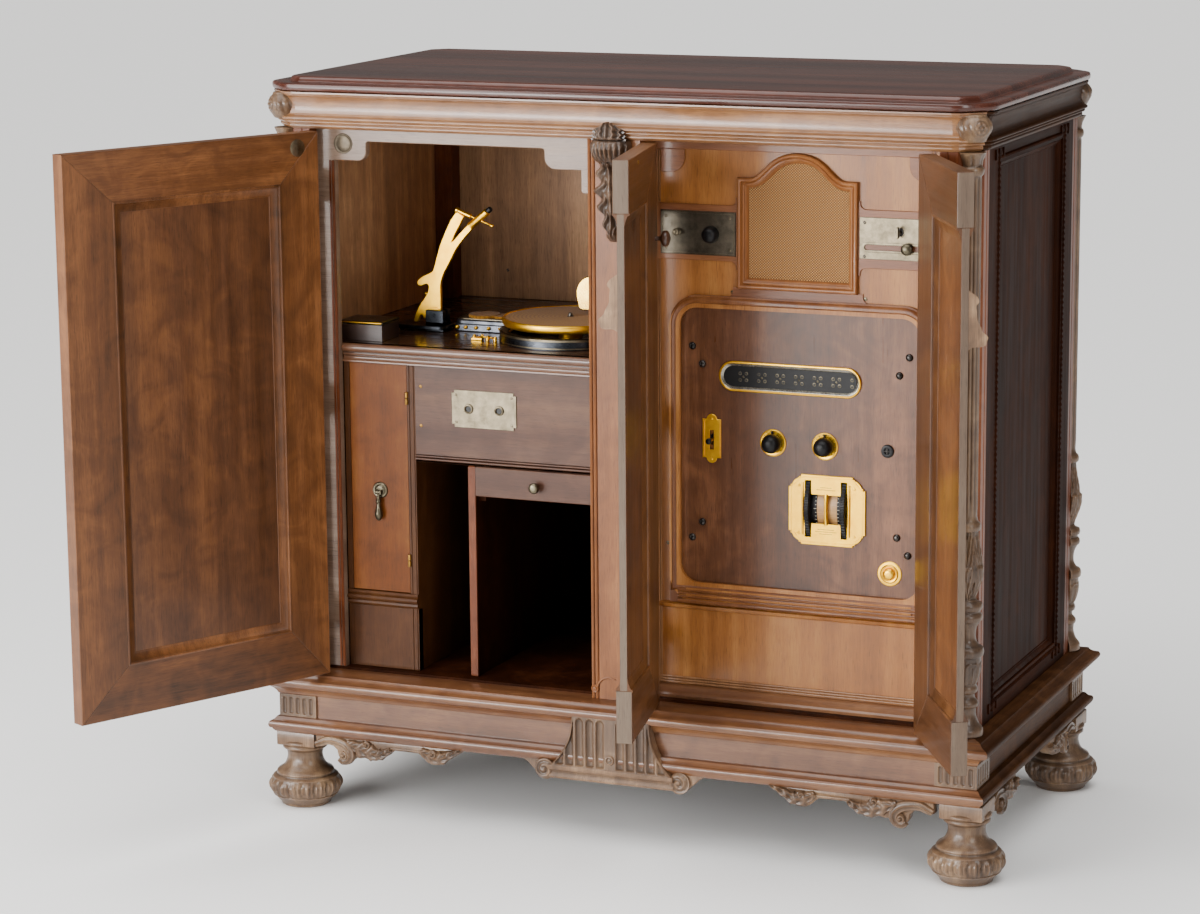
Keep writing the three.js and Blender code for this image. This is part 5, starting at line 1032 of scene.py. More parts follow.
for side, pin_x, degrees, flip in (("middle", 44.0, -78.2, 1), ("right", 507.0, 121.0, -1)):
    move, way = hang(pin_x, degrees, flip)
    uprights, rails, panel, mouldings = door_parts(230.0, 88.0, 0)
    # The doors are one walnut: the narrower doors are toned darker than the wide door, the right one most, as
    # painted shade.
    tones = ("#301c0d", "#533218", "#764c29") if side == "middle" else ("#2b190c", "#4a2c16", "#6b4525")
    along = wood(f"{side}_door_walnut_along", tones, grain=way, coat=0.1, figure=0.3, shift=4.4)
    upward = wood(f"{side}_door_walnut_upright", tones, coat=0.1, figure=0.3, shift=1.9)
    body = f"{side}_door"
    piece(f"{body}_stile", uprights + mouldings, upward, body, body, move=move)
    piece(f"{body}_rails", rails, along, body, move=move)
    piece(f"{body}_panel", [panel], figured_panel, body, move=move)
    piece(f"{body}_boss", [carved_half_boss(230.0)], carved_walnut, body, move=move,
          crease=50)
    lip = [slab(rectangle(depths, heights), "yzx", 230.8, 231.3, 0.1) for depths, heights in (
        ((4.6, 27.4), (door_bottom + 0.4, rail_z[0] - 1)), ((4.6, 27.4), (rail_z[1] + 1, door_top - 0.4)),
        ((10.4, 20.8), rail_z))]
    piece(f"{body}_meeting_edge", lip, pale_edge_wear_and_highlight, body, move=move)
    moving_hinges(f"{body}_hinges", body, move)
    if side == "middle":
        knob = turn(smooth([(3.4, -2), (3.4, 6), (6, 9), (10.4, 11), (12, 15), (10.8, 19.4), (6, 22),
                            (1, 22.6)], 4), (18.5, 949), "xzy", 32)
        knob_walnut = wood("turned_knob_walnut", ("#2b1a12", "#4a2f20", "#6e4c36"), grain=way, coat=0.6)
        piece("middle_door_stay_knob", [(knob[0] + (0, 28, 0), knob[1], knob[2])], knob_walnut,
              body, move=move)
        pin = turn([(3.4, -1), (3.4, 0.6), (2.6, 1.4), (0.6, 1.8)], (157, 1078), "xzy", 18)
        piece("middle_door_pin", [(pin[0] + (0, 28, 0), pin[1], pin[2])], brass, body,
              move=move)


# ------------------------------------------------------------------ Face frame of the record chamber
# A fixed walnut frame just behind the wide door: a header whose two ends drop as rounded tabs, a
# slim left jamb with two beads, and a round brass bumper that the door closes on.
def arc(a, b, radius, start, stop, steps=8):
    """Points on an arc, from start to stop degrees."""
    t = np.radians(np.linspace(start, stop, steps))
    return np.stack([a + radius * np.cos(t), b + radius * np.sin(t)], 1)


frame_outline = np.concatenate([[(-507.7, 231.3), (-477, 231.3), (-477, 1041)], arc(-437, 1056, 15, -90, 0),
                                arc(-418, 1067, 4, 180, 90, 4), arc(-126, 1067, 4, 90, 0, 4),
                                arc(-104, 1058, 18, 180, 270), [(-62, 1040), (-62, 1012)],
                                arc(-57, 1010, 5, 180, 270, 4), [(-43.3, 1005), (-43.3, 1091.2),
                                                                 (-507.7, 1091.2)]])
header_walnut = wood("header_walnut", ("#50392b", "#6f5847", "#8c7665"), grain=(1, 0, 0), coat=0.18,
                     figure=0.12)
piece("record_chamber_frame", [slab(frame_outline, "xzy", -262, -248, 1.2)], header_walnut,
      stands_for="left_face_frame")
jamb_beads = [board((-481.4, -477.2), (-263.4, -260), (231.4, 1041), 1.6),
              board((-486, -483), (-263.2, -260), (231.4, 1041), 1.2)]
piece("jamb_beads", jamb_beads, walnut_up)
bumper = forward([(15.6, 0), (15.8, 0.8), (15, 1.3), (13, 1.2), (12, 0.8), (10.4, 1.2), (6, 1.6), (1, 1.7)],
                 -461, 1067, -261.9, 40)
piece("door_bumper", [bumper], weathered_brass)


# ------------------------------------------------------------------ Record chamber and turntable deck
# The chamber is lined with straight-grained walnut, and the deck's front edge is a torus over a
# cove.
deck_outline = np.array([(-507.7, -247.7), (-43.3, -247.7), (-43.3, -230), (-9.3, -230), (-9.3, 261.7),
                         (-507.7, 261.7), (-507.7, 226.7), (-540.7, 226.7), (-540.7, -226.7),
                         (-507.7, -226.7)])
nose_profile = np.concatenate([
    [(236, 752), (246, 752)], smooth([(249, 751.8), (252, 749), (253, 745), (252, 741), (249.4, 738.8)], 3),
    [(247.6, 738.4), (247.6, 737)], smooth([(248.4, 735), (246.6, 731), (247.4, 727.4), (250, 725.4)], 3),
    [(250.4, 723.2), (236, 723)]])
deck_walnut = wood("dark_polished_deck", ("#1e120a", "#382317", "#5b3d27"), grain=(1, 0, 0),
                   rough=(0.2, 0.32), coat=0.3, figure=0.15)
piece("turntable_deck", [slab(deck_outline, "xyz", 732, 752)], deck_walnut, stands_for="deck_board")
piece("deck_nose", [strip(nose_profile, -476.6, -43.4, 0)], walnut_across)
# Toned pale as painted light inside the chamber.
lining = wood("chamber_lining_painted_light", ("#6e503b", "#af845e", "#f0be89"), rough=(0.4, 0.55), coat=0.2,
              figure=0.15)
back_wall = 258.6
walls = (((-540.6, -538.4), (-226, 226)), ((-507, -9.5), (back_wall, 261.4)), ((-12, -9.4), (-229, 258)))
piece("chamber_lining", [board(*wall, (752.4, 1091)) for wall in walls], lining)
lining_places = [(-440, 1040), (-300, 1052), (-150, 1040), (-420, 800)]
piece("lining_screws", screws(lining_places, back_wall, radius=2.6), steel)


# ------------------------------------------------------------------ Fittings under the deck
# Left: a tall store with an orange-toned door over a fixed panel and a small ledge moulding.
orange_up = wood("orange_walnut_upright", ("#432006", "#61330f", "#7a4a1c"), coat=0.05, gloss=0.15,
                 figure=0.3, shift=0.7)
fit_y, fit_top = -246.0, 722.7      # the front plane of the fittings, and their top under the deck
store = [board((-476.7, -468), (fit_y, -232), (231.3, fit_top)),
         board((-476.7, -354), (-245.6, -232), (231.3, 332)),
         board((-367.5, -354), (fit_y, 250), (231.3, fit_top)),
         board((-365.4, -363.6), (-247.4, -244), (231.6, 722), 0.7),
         board((-358.4, -356), (-247.4, -244), (231.6, 722), 0.9)]
ledge = [(0, 332), (3, 333), (4.6, 336), (3.6, 339.4), (2.4, 340.4), (5, 341.6), (6.4, 344.6), (5, 348),
         (2.4, 349.4), (3.6, 351), (4.2, 353), (3, 355.6), (0, 356), (-6, 356), (-6, 332)]
store_walnut = wood("store_walnut", ("#2a1507", "#442610", "#5c3a1e"), coat=0.05, gloss=0.15, shift=5.1)
piece("record_store_frame", store + [strip(ledge, -476.6, -354.1, fit_y)], store_walnut,
      stands_for="record_front")
narrow_panel = [board((-467, -368), (fit_y, -234), (357, 722), 0.6)]
piece("narrow_door_panel", narrow_panel, orange_up, "narrow_door", "narrow_door")
for name, low_end, high_end, body in (("narrow_door_hinges", 0.5, 10, "narrow_door"),
                                      ("store_frame_hinges", -10, 0, "cabinet")):
    knuckles = [hinge_barrel(-367.5, -248, z + low_end, z + high_end, 3) for z in (410, 670)]
    piece(name, knuckles, brass, body)
bronze = metal("dark_bronze", "#6b6350", "#3b3529", (0.3, 0.45))
rose = forward(smooth([(12, 0), (13, 1.4), (11.4, 3.4), (9, 3.2), (7.6, 4.4), (4, 5.2), (1, 5.4)], 3), -417,
               520, -245.6, 32)
ears = [board((x - 1.2, x + 1.2), (-258, -245), (514.6, 521.6), 0.6) for x in (-421.8, -412.2)]
piece("drop_pull_rose", [rose] + ears, bronze, "narrow_door")
pull_drop = turn(smooth([(0.8, 472), (3, 473.4), (6, 479), (6.2, 485), (4, 493), (3.2, 500), (4.4, 503),
                         (3.4, 506), (2.2, 510), (2.4, 518)], 5), (-417, -254), around=28)
pull_barrel = wire([(x, -254, 518) for x in (-421, -417, -413)], 3.0, 16)
piece("drop_pull_teardrop", [pull_drop, pull_barrel], bronze, "drop_pull", "drop_pull")

# Right: the jack panel, with its nickel plate of stepped corners, a double bead and the small
# drawer, over the record slots.
jack_walnut = wood("jack_panel_walnut", ("#311a10", "#4b2f21", "#644633"), grain=(1, 0, 0), coat=0.1,
                   gloss=0.22, shift=6.3)
jack_beads = [wire([(x, fit_y, z) for x in (-353.6, -200, -43.5)], r, 12) for z,
              r in ((575, 2.0), (579.6, 1.6))]
jack_outline = np.array([(-353.7, fit_y), (-43.3, fit_y), (-43.3, -230), (-9.3, -230), (-9.3, 250),
                         (-353.7, 250)])
jack_boards = [board((-353.7, -43.3), (fit_y, -234), (570, fit_top)), slab(jack_outline, "xyz", 570, 583)]
piece("jack_panel_board", jack_boards + jack_beads, jack_walnut, stands_for="jack_panel")
step, plate_y, jack_x, jack_z = 4.5, -247.6, (-261, -209), 660
jack_plate = [(-290 + step, 630), (-180 - step, 630), (-180 - step, 630 + step), (-180, 630 + step),
              (-180, 689 - step), (-180 - step, 689 - step), (-180 - step, 689), (-290 + step, 689),
              (-290 + step, 689 - step), (-290, 689 - step), (-290, 630 + step), (-290 + step, 630 + step)]
jack_metal = [slab(jack_plate, "xzy", plate_y, -245.5, 0.5)]
jack_metal += [forward([(4.6, 0), (7.4, 0), (8, 1), (7.4, 2.4), (5.4, 3), (4.6, 2)], x, jack_z, -247.4, 28,
                       "ring") for x in jack_x]
jack_metal += screws([(x, z) for x in (-282, -188) for z in (638, 681)], plate_y, radius=2.2)
piece("jack_plate", jack_metal, nickel)
# Black discs in the jack holes, the socket cores and behind the lock slot: painted shade of the holes.
hole_painted_shade = new_finish("hole_painted_shade_black", {"Base Color": linear("#0c0b0a"), "Roughness": 0.5})[0]
holes = [forward([(4.5, -1), (4.5, 0.4), (1, 0.4)], x, jack_z, plate_y, 20) for x in jack_x]
piece("jack_holes", holes, hole_painted_shade)
piece("jack_panel_screws", screws([(-344, 628), (-344, 690)], fit_y, radius=2.6), brass)

drawer_parts = [board((-252, -44), (fit_y, -232), (522, 569), 1.0),
                board((-250, -242), (-233, -20), (522, 564), 0.4),
                board((-54, -46), (-233, -20), (522, 564), 0.4), board((-250, -46), (-28, -20), (522, 564),
                                                                       0.4),
                board((-250, -46), (-233, -20), (522, 527), 0.3)]
piece("drawer_box", drawer_parts, jack_walnut, "drawer", "drawer")
knob = forward(smooth([(4, -0.6), (4, 3), (3.4, 5), (7, 8), (8.6, 11), (7.4, 14.4), (4, 16), (1, 16.2)], 4),
               -148, 544, fit_y, 32)
piece("drawer_knob", [knob], bronze, "drawer")
divider_edge = [board((-264.4, -252.6), (fit_y, -242), (231.4, 569.6), 1.6)]
piece("divider_edge_lipping", divider_edge, walnut_up)


# ------------------------------------------------------------------ Turntable
# A spun and gilded platter with a brown velvet top turns on a steel spindle, inside a black
# lacquered hoop; the motor hangs under the deck.
gold = metal("polished_gold_plate", "#ffc834", "#f0b01e", (0.28, 0.42), relief=0.02)
black_lacquer = metal("black_lacquered_casting", "#232529", "#3b3e43", (0.22, 0.4))
grey_cast = metal("grey_lacquered_casting", "#4d5057", "#74777d", (0.3, 0.45))
platter_x, platter_y = -152.0, -98.0
platter_profile = np.concatenate([[(0.6, 703), (6, 703), (6, 753), (18, 754), (20, 776.2), (99, 776.2)],
                                  smooth([(102, 776.6), (105.4, 778), (107.4, 781), (108, 784.6),
                                          (107.6, 788), (106, 789.8), (104.2, 789.4)], 4),
                                  [(103.4, 788), (103, 786.4), (0.6, 786.4)]])
piece("platter_spinning", [turn(platter_profile, (platter_x, platter_y), around=96)], gold,
      "platter", "platter")
velvet, tree, shader = new_finish("brown_velvet", {"Roughness": 0.9, "Sheen Weight": 0.1,
                                                   "Sheen Roughness": 0.4, "Specular IOR Level": 0.1})
groove_pitch = 0.0065      # metres; the turning marks are drawn coarser than in life
spot = add(tree, "VectorMath", {0: add(tree, "TexCoord").outputs["Object"],
                                1: (float(centre[0] + platter_x / 1000), float(centre[1] + platter_y / 1000),
                                    0.788)}, operation="SUBTRACT").outputs[0]
away = add(tree, "VectorMath", {0: spot}, operation="LENGTH").outputs["Value"]
rings = add(tree, "Math", {0: add(tree, "Math", {0: away, 1: 2 * np.pi / groove_pitch},
                                  operation="MULTIPLY").outputs[0]}, operation="SINE").outputs[0]
pile = add(tree, "TexNoise", {"Vector": spot, "Scale": 900.0, "Detail": 3.0})
tinted = add(tree, "Math", {0: rings, 1: 0.07, 2: pile.outputs["Fac"]}, operation="MULTIPLY_ADD").outputs[0]
tree.links.new(tone_ramp(tree, tinted, [(0.3, "#5f3a0c"), (0.7, "#a8762a")]), shader.inputs["Base Color"])
nap = add(tree, "Bump", {"Height": tinted, "Strength": 0.35, "Distance": 0.0006})
tree.links.new(nap.outputs["Normal"], shader.inputs["Normal"])
piece("platter_velvet", [turn([(0.6, 786), (102.8, 786), (102.8, 788.2), (101.6, 789), (0.6, 789)],
                              (platter_x, platter_y), around=96)], velvet, "platter")
piece("platter_spindle", [turn([(0.5, 780), (5.5, 780), (5.5, 789.6), (3.6, 790), (3.4, 792.6), (2.4, 794.6),
                                (0.5, 795)], (platter_x, platter_y), around=24)], steel,
      "platter")
hoop = turn([(98, 752.3), (112, 752.3), (112, 766), (111, 768.6), (109, 770), (101, 770), (99, 769),
             (98, 767)], (platter_x, platter_y), around=96, ends="ring")
piece("platter_hoop", [hoop], black_lacquer, stands_for="changer_bed")
bright_bands = [turn([(r0, z0), (r1, z0), (r1, z1), (r0, z1)], (platter_x, platter_y), around=96, ends="ring")
                for r0, r1, z0, z1 in ((111.2, 112.5, 765.4, 768.6), (111.6, 112.5, 754, 756))]
piece("hoop_bright_edges", bright_bands, nickel)
coat_node("motor_unit", grey_cast)


# ------------------------------------------------------------------ Record changer
# Grey lacquered castings on the deck: a rounded carriage with a velvet pad and brass nuts, and a
# tray on short feet with a forked post, in which the gilded arm tilts.
def oval(a, b, radius, steps=6):
    """A rectangle with rounded corners, anticlockwise."""
    (a0, a1), (b0, b1) = a, b
    return np.concatenate([arc(a1 - radius, b0 + radius, radius, -90, 0, steps),
                           arc(a1 - radius, b1 - radius, radius, 0, 90, steps),
                           arc(a0 + radius, b1 - radius, radius, 90, 180, steps),
                           arc(a0 + radius, b0 + radius, radius, 180, 270, steps)])


carriage = [slab(oval((-365, -258), (-83, -20), 14), "xyz", 752.3, 764, 1.2),
            slab(oval((-362, -261), (-80, -23), 13), "xyz", 762, 771, 2.4),
            slab(oval((-268, -236), (-76, -52), 8), "xyz", 756, 768, 1.6)]
piece("changer_carriage", carriage, grey_cast)
piece("carriage_rim", [slab(oval((-359, -264), (-77, -26), 12), "xyz", 770, 773.2, 1.0)], nickel)
piece("carriage_pad", [turn([(0.5, 772), (26, 772), (26, 776), (24.6, 777.2), (0.5, 777.3)], (-321, -52),
                            around=56), slab(oval((-300, -268), (-70, -34), 10), "xyz", 772, 776.4, 1.0)],
      velvet)
nuts = [forward([(2.6, 0), (3.2, 1.2), (3, 3.4), (1.6, 4.8), (0.4, 5.2)], x, 759, -82.6, 14)
        for x in (-355, -340, -322, -300, -280)]
small_lever = [turn([(3.4, 752.2), (3.4, 757), (2.4, 759), (2.4, 766), (1.8, 767)], (-240, -152), around=16),
               wire([(-240, -152, 763), (-236, -140, 768), (-232, -124, 776), (-230, -116, 780)], 1.8),
               board((-246, -232), (-157, -149), (752.2, 757), 0.6),
               wire([(-288, -150, 756), (-276, -156, 758), (-262, -154, 757), (-254, -160, 756)], 1.7),
               board((-297, -280), (-156, -146), (752.2, 756), 0.6)]
for x, y in ((-283, -146), (-268, -158), (-254, -160), (-294, -151)):
    small_lever.append(turn([(3, 752.2), (3.4, 756), (2.6, 759), (1, 760.6)], (x, y), around=14))
piece("deck_levers", nuts + small_lever, gold)
piece("lever_block", [board((-231, -219), (-158, -146), (752.2, 765), 1.0)], black_lacquer)

tray = [slab(oval((-455, -366), (-112, -58), 10), "xyz", 756.3, 762.3, 1.0),
        board((-401, -371), (-104, -93.8), (760, 787), 1.4), board((-401, -371), (-86.2, -76), (760, 787),
                                                                   1.4),
        board((-401, -371), (-104, -76), (760, 767.6), 0.4), board((-401, -371), (-104, -76), (752.3, 757),
                                                                   0.8)]
for x, y in ((-444, -101), (-444, -69), (-378, -66)):
    tray.append(turn([(4, 752.3), (4, 757)], (x, y), around=20))
pivot = turn([(3.2, -106), (3.2, -105), (4.4, -104.6), (4.4, -75.6), (3.2, -75)], (-388, 781), "xzy", 20)
piece("changer_tray_and_post", tray + [pivot], black_lacquer, stands_for="changer_base")

arm_line = np.concatenate([[(-379, 777), (-379, 825)], smooth([(-378, 832), (-372, 847), (-364, 861),
                                                               (-358, 872), (-350, 886), (-340, 899),
                                                               (-330, 910), (-322, 919)], 3), [(-328, 926)],
                           smooth([(-334, 921), (-345, 910), (-354, 900), (-358, 897)], 2),
                           smooth([(-354, 906), (-346, 920), (-336, 938)], 3), [(-349, 946)],
                           smooth([(-360, 931), (-369, 913), (-378, 893), (-385, 872), (-391, 852),
                                   (-394, 847)], 3), smooth([(-402, 843), (-412, 838), (-419, 832),
                                                             (-420, 826), (-414, 823), (-407, 826),
                                                             (-402, 826), (-400, 822), (-402, 814),
                                                             (-407, 805), (-414, 796), (-421, 784),
                                                             (-426, 772), (-427, 766), (-424, 764.6),
                                                             (-420, 766), (-417, 772), (-414, 776.5),
                                                             (-411, 775), (-410, 771), (-407, 771)], 3),
                           [(-403, 780), (-398, 776)]])
arm_parts = [slab(arm_line, "xzy", -93.5, -86.5, 1.0)]
hub = turn([(8.4, -96), (9, -94), (9, -86), (8.4, -84)], (-388, 781), "xzy", 28)
arm_parts.append(hub)


def slanted(profile, start, degrees, around=24):
    """A turning along a line that leaves start at an angle above the X axis, in the arm's plane."""
    made = turn(profile, (0, 0), around=around)
    p, c, s = made[0], np.cos(np.radians(degrees)), np.sin(np.radians(degrees))
    return np.stack([start[0] + p[:, 2] * c - p[:, 0] * s, start[1] + p[:, 1],
                     start[2] + p[:, 2] * s + p[:, 0] * c], 1), made[1], made[2]


arm_parts += [slanted([(4, 0), (5, 1), (5, 4), (4.2, 5), (4.2, 27), (1.6, 28), (1.6, 62), (2.8, 64.6),
                       (2.6, 68), (0.6, 69)], (-351, -90, 948), -20.5),
              slanted([(3, 0), (5.5, 0.6), (6, 2.4), (6, 38), (5, 39.4), (4, 40)], (-327, -90, 922.5), 39),
              slanted([(6.4, 1), (6.7, 1.6), (6.7, 3.2), (6.4, 3.8)], (-327, -90, 922.5), 39),
              slanted([(2, 0), (2, 4), (1, 5)], (-403, -90, 812), 200)]
piece("changer_arm_gilded", arm_parts, gold, "changer_arm", "changer_arm")
ebonite, tree, shader = new_finish("moulded_black_bakelite", {"Base Color": linear("#0d0c0d"), "IOR": 1.55,
                                                              "Specular IOR Level": 0.2})
speck = add(tree, "TexNoise", {"Vector": add(tree, "TexCoord").outputs["Object"], "Scale": 240.0,
                               "Detail": 2.0})
haze = add(tree, "MapRange", {"Value": speck.outputs["Fac"], "To Min": 0.3, "To Max": 0.46})
tree.links.new(haze.outputs[0], shader.inputs["Roughness"])
piece("changer_arm_tip", [slanted([(4.4, 39.6), (4.6, 41), (4.4, 46), (3, 48), (0.6, 48.2)],
                                  (-327, -90, 922.5), 39)], ebonite, "changer_arm")


# ------------------------------------------------------------------ Pickup arm
# A gilded tube on a turned post swings over the platter; its head is a half-round gold shield.
post = turn(np.concatenate([[(0.6, 752.3), (20, 752.3), (20, 756), (18, 758.3), (13, 760), (12, 764),
                             (12, 800), (13.4, 803)], [(15, 804.3), (15, 814), (13.6, 817), (8, 819.6),
                                                       (0.6, 820.3)]]), (-45, 95), around=48)
tube = smooth([(-45, 95, 810.3), (-63, 45, 820.3), (-100, 0, 822.3), (-122, -62, 816.3)], 14)
shield = np.concatenate([arc(-122, 824, 28, 0, 180, 28), [(-150, 817)],
                         [(-146, 800), (-141, 796.4), (-103, 796.4), (-98, 800), (-94, 817)]])
pale_gold = metal("pale_gold_plate", "#f6cf6a", "#e0b04a", (0.2, 0.34), relief=0.02)
piece("pickup_post_and_tube", [post, wire(tube, 6.0, 20), wire(tube[-9:], 7.4, 20)], gold,
      "pickup_arm", "pickup_arm")
shield_parts = [slab(shield, "xzy", -80, -62, 1.8)] + screw(-122, -80, 803, radius=2.2, rise=0.7)
piece("pickup_shield", shield_parts, pale_gold, "pickup_arm")


# ------------------------------------------------------------------ Accessory box
# A small dark stained box stands at the deck's front corner, under a japanned lid with a brass
# bead along its front edge.
dark_box = wood("dark_stained_box", ("#1d120d", "#33211a", "#4c3429"), grain=(1, 0, 0), coat=0.6)
box_walls = [board(x, y, (752.3, top), 0.4) for x, y, top in (
    ((-494, -421), (-222, -218), 778), ((-494, -421), (-164, -160), 778), ((-494, -490), (-218, -164), 778),
    ((-425, -421), (-218, -164), 778), ((-490, -425), (-218, -164), 756))]
piece("accessory_box_walls", box_walls, dark_box, stands_for="accessory_box")
piece("box_lid_japanned", [board((-495, -420), (-223, -160), (778.3, 783.3), 1.4)], black_lacquer,
      "box_lid", "box_lid")
lid_bead = wire([(x, -222.6, 781) for x in (-494, -457, -421)], 1.3)
piece("box_lid_bead", [lid_bead], gold, "box_lid")


# ------------------------------------------------------------------ Radio board
# The board behind the narrow doors is orange-brown walnut, its grain upright. Thin overlays with
# hollow corners frame its fields and carry the two metal plates.
orange_board = wood("radio_board_walnut", ("#673916", "#915a27", "#b37b3f"), coat=0.2, figure=0.12, shift=8.2)
overlay_along = wood("overlay_walnut_along", ("#512c14", "#744426", "#93613c"), grain=(1, 0, 0), coat=0.22,
                     figure=0.1, shift=9.1)
coat_node("radio_board", orange_board)
board_y = -230.0
over = (board_y - 2.4, board_y - 0.1)


def hollow_rail(x0, x1, z0, z1, flare=9.0, lip=4, rest=3):
    """A rail whose ends flare up and down by quarter hollows, where they meet an upright."""
    low, high = z0 - flare - rest, z1 + flare + rest
    return np.concatenate([[(x0, low), (x0 + lip, low)], arc(x0 + flare + lip, z0 - flare, flare, 180, 90, 7),
                           arc(x1 - flare - lip, z0 - flare, flare, 90, 0, 7),
                           [(x1 - lip, low), (x1, low), (x1, high), (x1 - lip, high)],
                           arc(x1 - flare - lip, z1 + flare, flare, 0, -90, 7),
                           arc(x0 + flare + lip, z1 + flare, flare, -90, -180, 7),
                           [(x0 + lip, high), (x0, high)]])


top_rail = [(44, 1075), (484, 1075), (484, 1091.2), (44, 1091.2)]
overlays = [slab(outline, "xzy", *over, 0.7) for outline in (
    hollow_rail(44, 180, 909, 993), hollow_rail(367, 484, 909, 996), top_rail)]
for x, sign in ((56, 1), (484, -1)):
    hollow = arc(x + sign * 16, 1062, 22, -90, 0 if sign > 0 else -180, 8)
    ear = np.concatenate([[(x, 1040), (x + sign * 8, 1040)], hollow, [(x + sign * 38, 1075), (x, 1075)]])
    overlays.append(slab(ear if sign > 0 else ear[::-1], "xzy", *over, 0.6))
base = np.concatenate([[(160, 850.4)], arc(160, 866, 12, -90, 0, 6), [(172, 869.4), (375, 869.4)],
                       arc(387, 866, 12, 180, 270, 6), [(387, 850.4)]])
overlays.append(slab(base, "xzy", *over, 0.7))
piece("radio_board_overlays", overlays, overlay_along)
edge_beads = [board((44, 48.4), (board_y - 5, board_y - 0.1), (250, 1074.8), 1.8),
              board((49.4, 51.6), (board_y - 3, board_y - 0.1), (250, 1074.8), 0.8),
              board((52.6, 54.4), (board_y - 2, board_y - 0.1), (250, 1074.8), 0.6)]
light_bead = wood("light_walnut_bead", ("#603a1e", "#835937", "#a57a55"), coat=0.22, figure=0.08)
piece("radio_board_edge_beads", edge_beads, light_bead)
sill_lines = [wire([(x, board_y - 1.4, z) for x in (44, 260, 484)], 1.5, 10) for z in (252, 256, 260)]
piece("sill_lines", sill_lines, light_bead)
sill = [(0.2, 231.4), (20.4, 231.4), (21, 236), (19, 239), (13, 241.6), (9, 246), (4, 248.6), (0.2, 249)]
piece("radio_sill", [strip(sill, 43.6, 484.4, board_y)], walnut_across)
board_places = [(169.5, 862.5), (379, 863), (64, 470), (262, 374)]
piece("radio_board_screws", screws(board_places, board_y, radius=3.0), bronze)
jamb_lines = [board((489, 491), (-251.6, -249), (250, 1090), 0.7),
              board((484.6, 486.4), (-251.2, -249), (250, 1090), 0.6)]
piece("right_jamb_lines", jamb_lines, overlay_along)


# ------------------------------------------------------------------ Loudspeaker grille
# A moulded frame of two beads runs up to square shoulders and a round dome between hollow
# curves. Its cloth is woven from brown and gold threads, stretched over a rebate.
grille_x, grille_half = 273.5, 94.5


def bezier(points, steps=14):
    """A cubic curve: the four points weighted by the binomial terms of t."""
    t = np.linspace(0, 1, steps)[:, None]
    a, b, c, d = np.asarray(points, float)
    return (1 - t) ** 3 * a + 3 * (1 - t) ** 2 * t * b + 3 * (1 - t) * t ** 2 * c + t ** 3 * d


def domed(half, foot, shoulder, curve):
    """The grille's outline: a sill, square shoulders and a dome whose right half is the curve."""
    rise_line = bezier(curve)
    return np.concatenate([[(-half, foot), (half, foot), (half, shoulder)], rise_line,
                           (rise_line * (-1, 1))[::-1][1:], [(-half, shoulder)]]) + (grille_x, 0)


grille_line = domed(grille_half, 869, 1036, [(grille_half - 17, 1036), (grille_half * 0.56, 1036),
                                             (grille_half * 0.51, 1075), (0, 1075)])
bead_profile = [(aside, board_y - out) for aside, out in ((0, 0.2), (0, 5), (-1.2, 7.4), (-3, 8.4), (-5, 7.6),
                                                          (-6.2, 5.6), (-7, 5), (-8, 6.6), (-9.8, 7.2),
                                                          (-11.4, 6), (-12, 3.4), (-13.4, 2.4), (-15.6, -1.6),
                                                          (-15.8, -2.4), (-12, -2.4), (-9.5, 0.2))]
grille_walnut = wood("grille_frame_walnut", ("#5d3314", "#834f26", "#a16b3b"), coat=0.22, figure=0.08,
                     shift=3.9)
piece("grille_frame_beads", [run(grille_line, bead_profile, "xzy", True)], grille_walnut,
      stands_for="grille_frame")
woven, tree, shader = new_finish("woven_brown_and_gold_cloth", {"Roughness": 0.8, "Sheen Weight": 0.25})
place = add(tree, "SeparateXYZ", {0: add(tree, "TexCoord").outputs["Object"]})
thread_pitch = 0.0042      # metres between crossings, drawn coarser than in life
turns = 2 * np.pi / thread_pitch


def maths(operation, first, second=0.5):
    """The result of one Math node of the cloth's tree."""
    return add(tree, "Math", {0: first, 1: second}, operation=operation).outputs[0]


across = maths("MULTIPLY", place.outputs["X"], turns)
upward = maths("MULTIPLY", place.outputs["Z"], turns * 1.05)
crossing = maths("ADD", maths("SINE", maths("ADD", across, upward)),
                 maths("SINE", maths("SUBTRACT", across, upward)))
level_of = add(tree, "MapRange", {"Value": crossing, "From Min": -1.6, "From Max": 1.9}).outputs[0]
threads = tone_ramp(tree, level_of, [(0.15, "#4e2f12"), (0.6, "#835526"), (0.95, "#d8a258")])
tree.links.new(threads, shader.inputs["Base Color"])
weave = add(tree, "Bump", {"Height": level_of, "Strength": 0.6, "Distance": 0.0008})
tree.links.new(weave.outputs["Normal"], shader.inputs["Normal"])
cloth_line = domed(83.7, 879.6, 1024.5, [(67.2, 1024.5), (46, 1024.5), (42, 1064.2), (0, 1064.2)])
piece("grille_cloth_woven", [slab(cloth_line, "xzy", board_y + 2.8, board_y + 6.6, 0.2)], woven,
      stands_for="grille_cloth")
coat_node("loudspeaker", black_lacquer)


